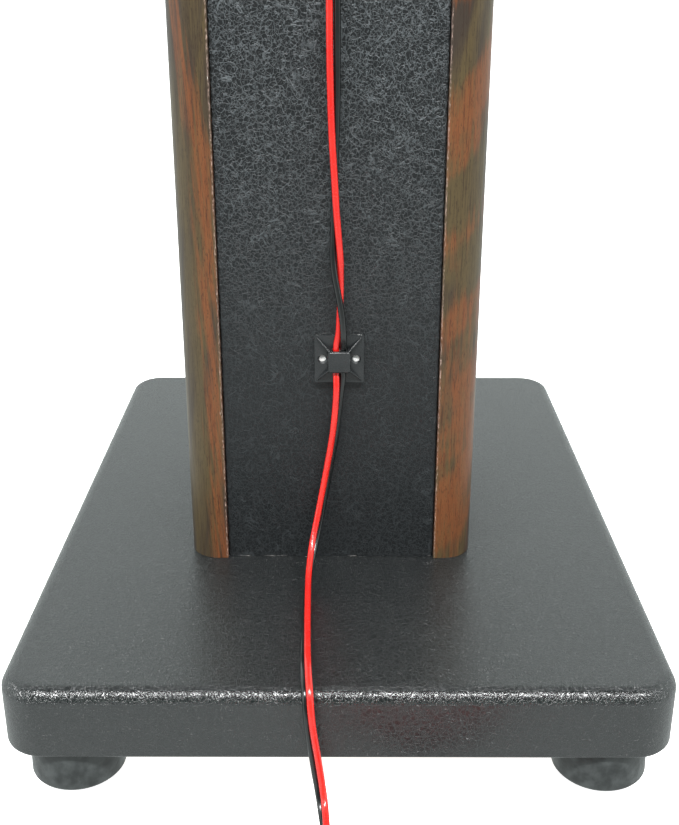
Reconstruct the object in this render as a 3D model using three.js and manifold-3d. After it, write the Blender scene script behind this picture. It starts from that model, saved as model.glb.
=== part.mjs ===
// A free-standing speaker stand: a vinyl-wrapped base on four rubber feet, a boxed column with two
// rounded wood-grain side rails, a smaller top board with four pads, and a red and black speaker lead
// that runs down the rear panel through two adhesive tie mounts and ends in a tied coil on the floor.
// Millimetres, +Z up. The origin is on the floor under the middle of the base. The rear side, which
// carries the lead, faces -Y.
import * as THREE from "three";
import { mergeVertices } from "three/addons/utils/BufferGeometryUtils.js";
import Module from "manifold-3d";

// ---------------------------------------------------------------- driving dimensions

// Base board
const BASE_WIDTH = 300;
const BASE_DEPTH = 392;
const BASE_THICKNESS = 34;
const BASE_CORNER_RADIUS = 19.5;
const BASE_TOP_EDGE_RADIUS = 7;
const BASE_BOTTOM_EDGE_RADIUS = 1.6;

// Feet
const FOOT_HEIGHT = 24;
const FOOT_TOP_RADIUS = 19.5;
const FOOT_WIDEST_RADIUS = 21.4;
const FOOT_WIDEST_HEIGHT = 6;
const FOOT_DOME_POWER = 1.6; // 2 would make the dome's profile a quarter of an ellipse
const FOOT_FLAT_RADIUS = 8;
const FOOT_INSET_X = 30;
const FOOT_INSET_Y = 23;
const FOOT_RECESS_RADIUS = 5.8;
const FOOT_RECESS_DEPTH = 12;
const FOOT_SCREW_RADIUS = 2.1;
const FOOT_SCREW_BITE = 15;
const FOOT_SCREW_HEAD_RADIUS = 4.4;
const FOOT_SCREW_HEAD_HEIGHT = 3;

// Column
const COLUMN_LENGTH = 625;
const COLUMN_OFFSET_X = -4.4; // it stands a little to the left of the boards' middle
const PANEL_WIDTH = 107;
const PANEL_THICKNESS = 15;
const PANEL_EDGE_RADIUS = 1;
const COLUMN_DEPTH = 152;
const RAIL_WIDTH = 19.5;
const RAIL_PROUD = 2;
const RAIL_ROUND_RADIUS = 14.5;
const BLOCK_HEIGHT = 46;

// Top board and its pads
const TOP_WIDTH = 230;
const TOP_DEPTH = 280;
const TOP_THICKNESS = 25;
const TOP_CORNER_RADIUS = 16;
const TOP_EDGE_RADIUS = 6;
const TOP_UNDER_EDGE_RADIUS = 1.6;
const PAD_RADIUS = 9;
const PAD_HEIGHT = 3;
const PAD_INSET = 24;

// Bolts that hold the column to both boards
const BOLT_RADIUS = 3;
const BOLT_BITE = 24;
const BOLT_HEAD_RADIUS = 5;
const BOLT_HEAD_HEIGHT = 6;
const BOLT_SOCKET_RADIUS = 2.9;
const BOLT_SOCKET_DEPTH = 3;
const BOLT_EDGE_X = 25.5; // from the inside of a side rail to a bolt
const BOLT_EDGE_Y = 23; // from the inside of a panel to a bolt
const BASE_COUNTERBORE_DEPTH = 11;
const TOP_COUNTERBORE_DEPTH = 8;
const WASHER_RADIUS = 8;
const WASHER_THICKNESS = 1.6;
const INSERT_WALL = 2.2;
const INSERT_LENGTH = 13;

// Adhesive tie mounts
const MOUNT_SIDE = 24;
const MOUNT_PLATE = 1.2;
const MOUNT_FOAM = 1.1;
const MOUNT_FOAM_INSET = 0.4;
const MOUNT_BRIDGE_SIDE = 10.8;
const MOUNT_BRIDGE_CAP = 1.5;
const MOUNT_LEAD_SLOT = 8.2;
const MOUNT_TIE_SLOT = 6.4;
const MOUNT_SLOT_HEIGHT = 4.4;
const MOUNT_HOLE_RADIUS = 1.65;
const MOUNT_HOLE_OFFSET = 8.2;
const MOUNT_RIB_THICKNESS = 0.9;
const MOUNT_RIB_START = 6.6;
const MOUNT_RIB_END = 15.2;
const MOUNT_WINDOW_WIDTH = 7.6;
const MOUNT_WINDOW_HEIGHT = 11.2;
const MOUNT_OFFSET_X = 4.4; // from the panel's middle
const LOWER_MOUNT_HEIGHT = 168.7;
const UPPER_MOUNT_HEIGHT = 560;

// Speaker lead: two conductors side by side
const CONDUCTOR_DIAMETER = 3.1;
const PAIR_SPACING = 3.45;
const TIP_RADIUS = 0.9;
const TIP_LENGTH = 9;

// The lead's spare length, wound on the floor
const COIL_CENTRE = [39, -270];
const COIL_OUTER_RADIUS = 42;
const COIL_PITCH = 3.7;
const COIL_TURNS_PER_LAYER = 4;
const COIL_LAYER_RISE = 7.1;
const COIL_LOW_HEIGHT = 2.8;
const COIL_STEPS_PER_TURN = 24;
const COIL_STUB = 4;
const TIE_WIDTH = 10;
const TIE_WALL = 0.8;

// Clearances
const FIT_GAP = 0.3; // round a piece that sits in or on another
const FACE_GAP = 0.1; // between flat faces that are bolted or glued together

// The lead's centre line from its top end to the coil: x, y, z, twist in degrees, and the spacing of
// its conductors where it isn't PAIR_SPACING. Twist 0 puts the black conductor to the right of the red
// one, 90 puts it behind the red one.
const LEAD_ROUTE = [
  [37.2, -81.1, 508, 0, 11],
  [35, -81.1, 530, 0, 6],
  [34, -81.1, 586, 0],
  [29.3, -81.1, 598, 0],
  [17, -81.1, 603, 0],
  [4.7, -81.1, 598, 0],
  [0, -81.1, 586, 0],
  [0, -81.1, 552, 0],
  [-1.2, -81.1, 450, 0],
  [-2.5, -81.1, 337, 4],
  [-2.4, -81.1, 299, 25],
  [-2.3, -81.1, 275, 58],
  [-2.1, -81.1, 257, 88],
  [-1.8, -81.1, 241, 110],
  [-1.5, -81.1, 228, 142],
  [-1.2, -81.1, 219, 180],
  [-0.7, -81.1, 211, 218],
  [0, -81.3, 203, 250],
  [0.6, -81.8, 195, 278],
  [0.9, -82.2, 187.5, 300],
  [0.8, -82.2, 181.2, 316],
  [0.4, -81.6, 177.5, 338],
  [0.2, -81.1, 174.2, 353],
  [0.1, -81.1, 163.2, 367],
  [0.1, -81.7, 159.6, 384],
  [-0.1, -82.2, 155.4, 402],
  [-0.9, -82.2, 145, 414],
  [-2.6, -82.2, 129, 416],
  [-9.2, -84.4, 91, 416],
  [-12.9, -93.4, 74.5, 420],
  [-15, -107, 65.2, 440],
  [-15.4, -126, 62, 452],
  [-14.9, -168, 62, 470],
  [-14.2, -186, 63.3, 474],
  [-13.3, -197.2, 59.4, 476],
  [-12.4, -202.2, 49, 480],
  [-9.7, -203.6, 28, 486],
  [-6.9, -210, 11.5, 480],
  [-4.6, -231, 4.6, 456],
  [-3, -265.7, 4.53, 450],
];

// ---------------------------------------------------------------- places worked out from them

const FOOT_X = BASE_WIDTH / 2 - FOOT_INSET_X;
const FOOT_Y = BASE_DEPTH / 2 - FOOT_INSET_Y;
const BOLT_SPACING_X = PANEL_WIDTH - 2 * BOLT_EDGE_X;
const BOLT_SPACING_Y = COLUMN_DEPTH - 2 * (PANEL_THICKNESS + BOLT_EDGE_Y);
const BASE_BOTTOM = FOOT_HEIGHT + FACE_GAP;
const BASE_TOP = BASE_BOTTOM + BASE_THICKNESS;
const COLUMN_BOTTOM = BASE_TOP + FACE_GAP;
const COLUMN_TOP = COLUMN_BOTTOM + COLUMN_LENGTH;
const TOP_BOTTOM = COLUMN_TOP + FACE_GAP;
const TOP_TOP = TOP_BOTTOM + TOP_THICKNESS;
const REAR_FACE_Y = -COLUMN_DEPTH / 2;
const BOLT_CLEAR_RADIUS = BOLT_RADIUS + FIT_GAP;
const INSERT_RADIUS = BOLT_CLEAR_RADIUS + INSERT_WALL;
const COUNTERBORE_RADIUS = WASHER_RADIUS + 2 * FIT_GAP;
const CONDUCTOR_RADIUS = CONDUCTOR_DIAMETER / 2;

// ---------------------------------------------------------------- finishes

const finish = (color, roughness, metalness = 0) =>
  new THREE.MeshStandardMaterial({ color, roughness, metalness });
const VINYL = finish(0x2b2f30, 0.5);
const WOOD_FILM = finish(0x6b2b18, 0.35);
const RAW_BOARD = finish(0xa98a63, 0.85);
const FOOT_RUBBER = finish(0x3a3d3d, 0.55);
const PAD_RUBBER = finish(0x1d1e1f, 0.8);
const NYLON = finish(0x222425, 0.4);
const FOAM = finish(0xe9e9e6, 0.8);
const RED_PVC = finish(0xd8241c, 0.25);
const BLACK_PVC = finish(0x1a1c1c, 0.25);
const COPPER = finish(0xb8653c, 0.3, 1);
const BLACK_STEEL = finish(0x1c1d1f, 0.35, 0.9);
const ZINC = finish(0xb9bcc0, 0.3, 1);
const BRASS = finish(0xb8954a, 0.35, 1);
const TIE_FABRIC = finish(0x18191a, 0.9);

// ---------------------------------------------------------------- solids

const wasm = await Module();
wasm.setup();

/** Turns a closed three.js geometry into a solid that can be cut and joined. */
function toSolid(geometry) {
  const bare = geometry.clone();
  bare.deleteAttribute("normal");
  bare.deleteAttribute("uv");
  const merged = mergeVertices(bare, 1e-4);
  return new wasm.Manifold(
    new wasm.Mesh({
      numProp: 3,
      vertProperties: new Float32Array(merged.attributes.position.array),
      triVerts: new Uint32Array(merged.index.array),
    }),
  );
}

/** Turns a solid back into a geometry. */
function toGeometry(solid) {
  const { vertProperties, triVerts } = solid.getMesh();
  const geometry = new THREE.BufferGeometry();
  geometry.setAttribute("position", new THREE.Float32BufferAttribute(vertProperties, 3));
  geometry.setIndex(Array.from(triVerts));
  return geometry;
}

/** Takes every cutter away from the first geometry. */
function cut(geometry, cutters) {
  let solid = toSolid(geometry);
  for (const cutter of cutters) solid = solid.subtract(toSolid(cutter));
  return toGeometry(solid);
}

/** Joins geometries that overlap into one body. */
function join(geometries) {
  let solid = toSolid(geometries[0]);
  for (const other of geometries.slice(1)) solid = solid.add(toSolid(other));
  return toGeometry(solid);
}

/** An upright cylinder from z to z + height. */
function post(x, y, z, radius, height, sides = 16) {
  const cylinder = new THREE.CylinderGeometry(radius, radius, height, sides);
  return cylinder.rotateX(Math.PI / 2).translate(x, y, z + height / 2);
}

/** A box from one corner to the opposite one. */
function boxBetween([x0, y0, z0], [x1, y1, z1]) {
  const box = new THREE.BoxGeometry(x1 - x0, y1 - y0, z1 - z0);
  return box.translate((x0 + x1) / 2, (y0 + y1) / 2, (z0 + z1) / 2);
}

/** A solid of revolution about Z from its profile of [radius, z] points, listed from below upwards. */
function turned(profile, sides = 24) {
  const points = profile.map(([radius, z]) => new THREE.Vector2(radius, z));
  return new THREE.LatheGeometry(points, sides).rotateX(Math.PI / 2);
}

/** A ring about Z. */
function ring(innerRadius, outerRadius, z0, z1, sides = 24) {
  return turned(
    [
      [innerRadius, z0],
      [outerRadius, z0],
      [outerRadius, z1],
      [innerRadius, z1],
      [innerRadius, z0],
    ],
    sides,
  );
}

/** The outline of a rectangle with round corners, anticlockwise, as [x, y] points. */
function roundedOutline(width, depth, radius, stepsPerCorner) {
  const outline = [];
  const corners = [
    [1, 1],
    [-1, 1],
    [-1, -1],
    [1, -1],
  ];
  corners.forEach(([sx, sy], quarter) => {
    for (let step = 0; step <= stepsPerCorner; step++) {
      const angle = ((quarter + step / stepsPerCorner) * Math.PI) / 2;
      const x = sx * (width / 2 - radius) + radius * Math.cos(angle);
      const y = sy * (depth / 2 - radius) + radius * Math.sin(angle);
      outline.push([x, y]);
    }
  });
  return outline;
}

/** A closed body through rings of equally many points, each a list of THREE.Vector3. */
function loft(rings) {
  const count = rings[0].length;
  const positions = rings.flat().flatMap((point) => [point.x, point.y, point.z]);
  const index = [];
  for (let level = 0; level + 1 < rings.length; level++) {
    for (let i = 0; i < count; i++) {
      const a = level * count + i;
      const b = level * count + ((i + 1) % count);
      index.push(a, b, b + count, a, b + count, a + count);
    }
  }
  const last = (rings.length - 1) * count;
  for (let i = 1; i + 1 < count; i++) {
    index.push(0, i + 1, i);
    index.push(last, last + i, last + i + 1);
  }
  const geometry = new THREE.BufferGeometry();
  geometry.setAttribute("position", new THREE.Float32BufferAttribute(positions, 3));
  geometry.setIndex(index);
  return geometry;
}

/** A board with round corners, its upper and lower edges rounded, from z = 0 up. */
function board({ width, depth, thickness, corner, topEdge, bottomEdge }) {
  const levels = [];
  const lowerSteps = 2;
  for (let step = 0; step <= lowerSteps; step++) {
    const angle = (step / lowerSteps) * (Math.PI / 2);
    levels.push([bottomEdge * (1 - Math.sin(angle)), bottomEdge * (1 - Math.cos(angle))]);
  }
  const upperSteps = 5;
  for (let step = 0; step <= upperSteps; step++) {
    const angle = (step / upperSteps) * (Math.PI / 2);
    const inset = topEdge * (1 - Math.cos(angle));
    levels.push([inset, thickness - topEdge * (1 - Math.sin(angle))]);
  }
  const rings = levels.map(([inset, z]) => {
    const outline = roundedOutline(width - 2 * inset, depth - 2 * inset, corner - inset, 6);
    return outline.map(([x, y]) => new THREE.Vector3(x, y, z));
  });
  return loft(rings);
}

/** The four places of a rectangular pattern about x = middle, as [x, y, name]. */
function fourPlaces(halfX, halfY, middle = 0) {
  return [
    [middle - halfX, -halfY, "rear_left"],
    [middle + halfX, -halfY, "rear_right"],
    [middle - halfX, halfY, "front_left"],
    [middle + halfX, halfY, "front_right"],
  ];
}
const FOOT_PLACES = fourPlaces(FOOT_X, FOOT_Y);
const BOLT_PLACES = fourPlaces(BOLT_SPACING_X / 2, BOLT_SPACING_Y / 2, COLUMN_OFFSET_X);
const PAD_PLACES = fourPlaces(TOP_WIDTH / 2 - PAD_INSET, TOP_DEPTH / 2 - PAD_INSET);

const stand = new THREE.Group();
const column = new THREE.Group();
column.position.x = COLUMN_OFFSET_X;
stand.add(column);

/** Adds one named piece to the stand, or to another group. */
function add(name, geometry, material, [x, y, z] = [0, 0, 0], parent = stand) {
  const mesh = new THREE.Mesh(geometry, material);
  mesh.name = name;
  mesh.position.set(x, y, z);
  parent.add(mesh);
  return mesh;
}

// ---------------------------------------------------------------- base and feet

/** The base board with its bolt holes, counterbores and the feet's pilot holes. */
function baseBoard() {
  const body = board({
    width: BASE_WIDTH,
    depth: BASE_DEPTH,
    thickness: BASE_THICKNESS,
    corner: BASE_CORNER_RADIUS,
    topEdge: BASE_TOP_EDGE_RADIUS,
    bottomEdge: BASE_BOTTOM_EDGE_RADIUS,
  });
  const cutters = [];
  for (const [x, y] of BOLT_PLACES) {
    cutters.push(post(x, y, -1, BOLT_CLEAR_RADIUS, BASE_THICKNESS + 2, 12));
    cutters.push(post(x, y, -1, COUNTERBORE_RADIUS, BASE_COUNTERBORE_DEPTH + 1));
  }
  for (const [x, y] of FOOT_PLACES) {
    cutters.push(post(x, y, -1, FOOT_SCREW_RADIUS + FIT_GAP, FOOT_SCREW_BITE + FIT_GAP + 1, 12));
  }
  return cut(body, cutters);
}

/** A domed rubber foot with a recess for its washer and screw, standing on z = 0. */
function foot() {
  const hole = FOOT_SCREW_RADIUS + FIT_GAP;
  const profile = [
    [hole, FOOT_RECESS_DEPTH],
    [FOOT_RECESS_RADIUS, FOOT_RECESS_DEPTH],
    [FOOT_RECESS_RADIUS, 0],
    [FOOT_FLAT_RADIUS, 0],
  ];
  const steps = 6;
  for (let step = 1; step <= steps; step++) {
    const below = Math.cos((step / steps) * (Math.PI / 2)); // 1 on the floor, 0 where the foot is widest
    const bulge = (1 - below ** FOOT_DOME_POWER) ** (1 / FOOT_DOME_POWER);
    const radius = FOOT_FLAT_RADIUS + (FOOT_WIDEST_RADIUS - FOOT_FLAT_RADIUS) * bulge;
    profile.push([radius, FOOT_WIDEST_HEIGHT * (1 - below)]);
  }
  profile.push([(FOOT_WIDEST_RADIUS * 2 + FOOT_TOP_RADIUS) / 3, (FOOT_WIDEST_HEIGHT + FOOT_HEIGHT) / 2]);
  profile.push([FOOT_TOP_RADIUS, FOOT_HEIGHT]);
  profile.push([hole, FOOT_HEIGHT]);
  profile.push([hole, FOOT_RECESS_DEPTH]);
  return turned(profile, 24);
}

/** A pan-head screw, its head's underside at z = 0 and its shank upwards. */
function footScrew(shankLength) {
  const head = FOOT_SCREW_HEAD_HEIGHT;
  const body = turned(
    [
      [0, -head],
      [FOOT_SCREW_HEAD_RADIUS * 0.7, -head],
      [FOOT_SCREW_HEAD_RADIUS, -head * 0.45],
      [FOOT_SCREW_HEAD_RADIUS, 0],
      [FOOT_SCREW_RADIUS, 0],
      [FOOT_SCREW_RADIUS, shankLength - 2 * FOOT_SCREW_RADIUS],
      [0, shankLength],
    ],
    12,
  );
  const arm = FOOT_SCREW_HEAD_RADIUS * 0.55;
  const blade = FOOT_SCREW_HEAD_RADIUS * 0.12;
  return cut(body, [
    boxBetween([-arm, -blade, -head - 1], [arm, blade, -head * 0.45]),
    boxBetween([-blade, -arm, -head - 1], [blade, arm, -head * 0.45]),
  ]);
}

function addBaseAndFeet() {
  add("base_board", baseBoard(), VINYL, [0, 0, BASE_BOTTOM]);
  const washerTop = FOOT_RECESS_DEPTH - FIT_GAP;
  const washerBottom = washerTop - WASHER_THICKNESS;
  const screwSeat = washerBottom - FIT_GAP;
  const screwLength = BASE_BOTTOM + FOOT_SCREW_BITE - screwSeat;
  for (const [x, y, place] of FOOT_PLACES) {
    add(`foot_${place}`, foot(), FOOT_RUBBER, [x, y, 0]);
    const washer = ring(FOOT_SCREW_RADIUS + FIT_GAP, FOOT_RECESS_RADIUS - FIT_GAP, washerBottom, washerTop, 16);
    add(`foot_washer_${place}`, washer, ZINC, [x, y, 0]);
    add(`foot_screw_${place}`, footScrew(screwLength), ZINC, [x, y, screwSeat]);
  }
}

// ---------------------------------------------------------------- column

/** One vinyl-wrapped panel of the column's box, its wrapped edges slightly round. */
function columnPanel() {
  const outline = roundedOutline(PANEL_WIDTH - 2 * FIT_GAP, PANEL_THICKNESS, PANEL_EDGE_RADIUS, 3);
  const ringAt = (z) => outline.map(([x, y]) => new THREE.Vector3(x, y, z));
  return loft([ringAt(0), ringAt(COLUMN_LENGTH)]);
}

/** The right side rail: flat inside, its two outer edges fully rounded. */
function sideRail() {
  const inner = PANEL_WIDTH / 2;
  const outer = inner + RAIL_WIDTH;
  const half = COLUMN_DEPTH / 2 + RAIL_PROUD;
  const round = RAIL_ROUND_RADIUS;
  const shape = new THREE.Shape();
  shape.moveTo(inner, -half);
  shape.lineTo(outer - round, -half);
  shape.absarc(outer - round, -half + round, round, -Math.PI / 2, 0, false);
  shape.lineTo(outer, half - round);
  shape.absarc(outer - round, half - round, round, 0, Math.PI / 2, false);
  shape.lineTo(inner, half);
  shape.closePath();
  return new THREE.ExtrudeGeometry(shape, {
    depth: COLUMN_LENGTH,
    bevelEnabled: false,
    curveSegments: 10,
  });
}

/** A block glued inside an end of the column, drilled from z = 0 for four inserts and their bolts. */
function endBlock() {
  const halfX = PANEL_WIDTH / 2 - FIT_GAP;
  const halfY = COLUMN_DEPTH / 2 - PANEL_THICKNESS - FIT_GAP;
  const body = boxBetween([-halfX, -halfY, 0], [halfX, halfY, BLOCK_HEIGHT]);
  const cutters = [];
  for (const [x, y] of fourPlaces(BOLT_SPACING_X / 2, BOLT_SPACING_Y / 2)) {
    cutters.push(post(x, y, -1, INSERT_RADIUS + FIT_GAP, INSERT_LENGTH + 2 * FIT_GAP + 1, 14));
    cutters.push(post(x, y, -1, BOLT_CLEAR_RADIUS, BOLT_BITE + 3 + 1, 12));
  }
  return cut(body, cutters);
}

/** A hexagon-socket bolt, its head's underside at z = 0, its shank down to z = -length. */
function bolt(length) {
  const chamfer = 0.6;
  const body = turned(
    [
      [0, -length],
      [BOLT_RADIUS - chamfer, -length],
      [BOLT_RADIUS, -length + chamfer],
      [BOLT_RADIUS, 0],
      [BOLT_HEAD_RADIUS, 0],
      [BOLT_HEAD_RADIUS, BOLT_HEAD_HEIGHT - chamfer],
      [BOLT_HEAD_RADIUS - chamfer, BOLT_HEAD_HEIGHT],
      [0, BOLT_HEAD_HEIGHT],
    ],
    12,
  );
  const socket = post(0, 0, BOLT_HEAD_HEIGHT - BOLT_SOCKET_DEPTH, BOLT_SOCKET_RADIUS, BOLT_SOCKET_DEPTH + 1, 6);
  return cut(body, [socket]);
}

/** A threaded insert as a plain bush, from z = 0 up. */
function insertNut() {
  return ring(BOLT_CLEAR_RADIUS, INSERT_RADIUS, 0, INSERT_LENGTH, 12);
}

function addColumn() {
  const panelY = COLUMN_DEPTH / 2 - PANEL_THICKNESS / 2;
  add("column_panel_rear", columnPanel(), VINYL, [0, -panelY, COLUMN_BOTTOM], column);
  add("column_panel_front", columnPanel(), VINYL, [0, panelY, COLUMN_BOTTOM], column);
  add("side_rail_right", sideRail(), WOOD_FILM, [0, 0, COLUMN_BOTTOM], column);
  const left = add("side_rail_left", sideRail(), WOOD_FILM, [0, 0, COLUMN_BOTTOM], column);
  left.rotation.z = Math.PI;
  add("column_block_bottom", endBlock(), RAW_BOARD, [0, 0, COLUMN_BOTTOM], column);
  const top = add("column_block_top", endBlock(), RAW_BOARD, [0, 0, COLUMN_TOP], column);
  top.rotation.x = Math.PI;
}

function addBaseBolts() {
  const washerTop = BASE_BOTTOM + BASE_COUNTERBORE_DEPTH - FIT_GAP;
  const headSeat = washerTop - WASHER_THICKNESS - FIT_GAP;
  const length = COLUMN_BOTTOM + BOLT_BITE - headSeat;
  for (const [x, y, place] of BOLT_PLACES) {
    const washer = ring(BOLT_CLEAR_RADIUS, WASHER_RADIUS, -WASHER_THICKNESS, 0, 16);
    add(`base_washer_${place}`, washer, ZINC, [x, y, washerTop]);
    const turnedBolt = add(`base_bolt_${place}`, bolt(length), BLACK_STEEL, [x, y, headSeat]);
    turnedBolt.rotation.x = Math.PI;
    add(`base_insert_${place}`, insertNut(), BRASS, [x, y, COLUMN_BOTTOM + FIT_GAP]);
  }
}

// ---------------------------------------------------------------- top board

/** The top board with its counterbored bolt holes. */
function topBoard() {
  const body = board({
    width: TOP_WIDTH,
    depth: TOP_DEPTH,
    thickness: TOP_THICKNESS,
    corner: TOP_CORNER_RADIUS,
    topEdge: TOP_EDGE_RADIUS,
    bottomEdge: TOP_UNDER_EDGE_RADIUS,
  });
  const cutters = [];
  for (const [x, y] of BOLT_PLACES) {
    cutters.push(post(x, y, -1, BOLT_CLEAR_RADIUS, TOP_THICKNESS + 2, 12));
    const bore = BOLT_HEAD_RADIUS + 2 * FIT_GAP;
    cutters.push(post(x, y, TOP_THICKNESS - TOP_COUNTERBORE_DEPTH, bore, TOP_COUNTERBORE_DEPTH + 1));
  }
  return cut(body, cutters);
}

/** A round pad with a chamfered upper edge. */
function pad() {
  const chamfer = PAD_HEIGHT * 0.3;
  return turned([
    [0, 0],
    [PAD_RADIUS, 0],
    [PAD_RADIUS, PAD_HEIGHT - chamfer],
    [PAD_RADIUS - chamfer, PAD_HEIGHT],
    [0, PAD_HEIGHT],
  ]);
}

function addTop() {
  add("top_board", topBoard(), VINYL, [0, 0, TOP_BOTTOM]);
  const headSeat = TOP_TOP - TOP_COUNTERBORE_DEPTH + FIT_GAP;
  const length = headSeat - COLUMN_TOP + BOLT_BITE;
  for (const [x, y, place] of BOLT_PLACES) {
    add(`top_bolt_${place}`, bolt(length), BLACK_STEEL, [x, y, headSeat]);
    add(`top_insert_${place}`, insertNut(), BRASS, [x, y, COLUMN_TOP - FIT_GAP - INSERT_LENGTH]);
  }
  for (const [x, y, place] of PAD_PLACES) {
    add(`speaker_pad_${place}`, pad(), PAD_RUBBER, [x, y, TOP_TOP + FACE_GAP]);
  }
}

// ---------------------------------------------------------------- tie mounts

/** One diagonal rib of a tie mount: it falls from the bridge to the plate's corner. */
function mountRib(quarter) {
  const low = MOUNT_PLATE / 2;
  const high = MOUNT_PLATE + MOUNT_SLOT_HEIGHT;
  const shape = new THREE.Shape([
    new THREE.Vector2(MOUNT_RIB_START, low),
    new THREE.Vector2(MOUNT_RIB_END, low),
    new THREE.Vector2(MOUNT_RIB_END, MOUNT_PLATE + 0.5),
    new THREE.Vector2(MOUNT_RIB_START, high),
  ]);
  const rib = new THREE.ExtrudeGeometry(shape, { depth: MOUNT_RIB_THICKNESS, bevelEnabled: false });
  rib.translate(0, 0, -MOUNT_RIB_THICKNESS / 2).rotateX(Math.PI / 2);
  return rib.rotateZ(((quarter + 0.5) * Math.PI) / 2);
}

/** A tie mount lying on z = 0: plate, two holes, four ribs, and a bridge open both ways over a window. */
function tieMount() {
  const half = MOUNT_SIDE / 2;
  const bridge = MOUNT_BRIDGE_SIDE / 2;
  const slotTop = MOUNT_PLATE + MOUNT_SLOT_HEIGHT;
  const top = slotTop + MOUNT_BRIDGE_CAP;
  const chamfer = MOUNT_BRIDGE_CAP * 0.6;
  const ringAt = (inset, z) =>
    roundedOutline(2 * (bridge - inset), 2 * (bridge - inset), 1.2, 2).map(
      ([x, y]) => new THREE.Vector3(x, y, z),
    );
  const block = loft([ringAt(0, MOUNT_PLATE / 2), ringAt(0, top - chamfer), ringAt(chamfer, top)]);
  const plate = boxBetween([-half, -half, 0], [half, half, MOUNT_PLATE]);
  const body = join([plate, block, ...[0, 1, 2, 3].map(mountRib)]);
  const lead = MOUNT_LEAD_SLOT / 2;
  const tie = MOUNT_TIE_SLOT / 2;
  const wide = MOUNT_WINDOW_WIDTH / 2;
  const tall = MOUNT_WINDOW_HEIGHT / 2;
  return cut(body, [
    boxBetween([-wide, -tall, -1], [wide, tall, MOUNT_PLATE + FIT_GAP]),
    boxBetween([-lead, -half, MOUNT_PLATE], [lead, half, slotTop]),
    boxBetween([-half, -tie, MOUNT_PLATE], [half, tie, slotTop]),
    post(-MOUNT_HOLE_OFFSET, 0, -1, MOUNT_HOLE_RADIUS, MOUNT_PLATE + 2, 12),
    post(MOUNT_HOLE_OFFSET, 0, -1, MOUNT_HOLE_RADIUS, MOUNT_PLATE + 2, 12),
  ]);
}

function addTieMount(place, height) {
  const group = new THREE.Group();
  group.position.set(MOUNT_OFFSET_X, REAR_FACE_Y, height);
  group.rotation.x = Math.PI / 2;
  column.add(group);
  const halfFoam = MOUNT_SIDE / 2 - MOUNT_FOAM_INSET;
  const foam = boxBetween([-halfFoam, -halfFoam, 0], [halfFoam, halfFoam, MOUNT_FOAM]);
  add(`tie_mount_foam_${place}`, foam, FOAM, [0, 0, FIT_GAP], group);
  add(`tie_mount_${place}`, tieMount(), NYLON, [0, 0, 2 * FIT_GAP + MOUNT_FOAM], group);
}

// ---------------------------------------------------------------- speaker lead

/** A curve whose steps fall on its own points, so that bends keep their short steps. */
class PointwiseCurve extends THREE.CatmullRomCurve3 {
  getPointAt(u, target) {
    return this.getPoint(u, target);
  }
  getTangentAt(u, target) {
    return this.getTangent(u, target);
  }
}

/** The centre line of one conductor: side -1 is the red one, side 1 the black one. */
function conductorLine(side) {
  const centres = LEAD_ROUTE.map(([x, y, z]) => new THREE.Vector3(x, y, z));
  const curve = new PointwiseCurve(centres);
  const last = centres.length - 1;
  const tangents = centres.map((_, i) => curve.getTangent(i / last));
  let across = new THREE.Vector3(-1, 0, 0); // the lead starts upwards, so left and right change over
  return centres.map((centre, i) => {
    const tangent = tangents[i];
    across = across.clone().addScaledVector(tangent, -across.dot(tangent)).normalize();
    const behind = new THREE.Vector3().crossVectors(across, tangent);
    const [, , , twist, spacing = PAIR_SPACING] = LEAD_ROUTE[i];
    const angle = THREE.MathUtils.degToRad(twist);
    const offset = across.clone().multiplyScalar(Math.cos(angle));
    offset.addScaledVector(behind, Math.sin(angle));
    return centre.clone().addScaledVector(offset, (side * spacing) / 2);
  });
}

/** A tube of eight sides along a conductor's centre line, with two steps from each point to the next. */
function conductorTube(line) {
  const section = new THREE.Shape();
  for (let i = 0; i < 8; i++) {
    const angle = ((i + 0.5) * Math.PI) / 4;
    const x = CONDUCTOR_RADIUS * Math.cos(angle);
    const y = CONDUCTOR_RADIUS * Math.sin(angle);
    if (i === 0) section.moveTo(x, y);
    else section.lineTo(x, y);
  }
  section.closePath();
  return new THREE.ExtrudeGeometry(section, {
    steps: 2 * (line.length - 1),
    extrudePath: new PointwiseCurve(line),
    bevelEnabled: false,
  });
}

/** The coil's centre line: in on the lower layer, up a layer in half a turn, and out on the upper. */
function coilLine(height) {
  const [cx, cy] = COIL_CENTRE;
  const layer = COIL_TURNS_PER_LAYER;
  const turns = 2 * layer + 0.5;
  const points = [new THREE.Vector3(cx - COIL_OUTER_RADIUS, cy + COIL_STUB, height)];
  for (let step = 0; step <= turns * COIL_STEPS_PER_TURN; step++) {
    const turn = step / COIL_STEPS_PER_TURN;
    const inwards = Math.min(turn, turns - turn);
    const radius = COIL_OUTER_RADIUS - COIL_PITCH * inwards;
    const climb = THREE.MathUtils.clamp((turn - layer) / 0.5, 0, 1);
    const z = height + (COIL_LAYER_RISE * (1 - Math.cos(Math.PI * climb))) / 2;
    const angle = Math.PI + 2 * Math.PI * turn;
    points.push(new THREE.Vector3(cx + radius * Math.cos(angle), cy + radius * Math.sin(angle), z));
  }
  const end = points[points.length - 1];
  points.push(new THREE.Vector3(end.x, end.y + COIL_STUB, end.z));
  return points;
}

/** The least free space between two parts of a tube that aren't neighbours along it. */
function leastGap(points, diameter) {
  let least = Infinity;
  const skip = COIL_STEPS_PER_TURN / 2;
  for (let i = 0; i < points.length; i++) {
    for (let j = i + skip; j < points.length; j++) {
      least = Math.min(least, points[i].distanceTo(points[j]) - diameter);
    }
  }
  return least;
}

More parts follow.
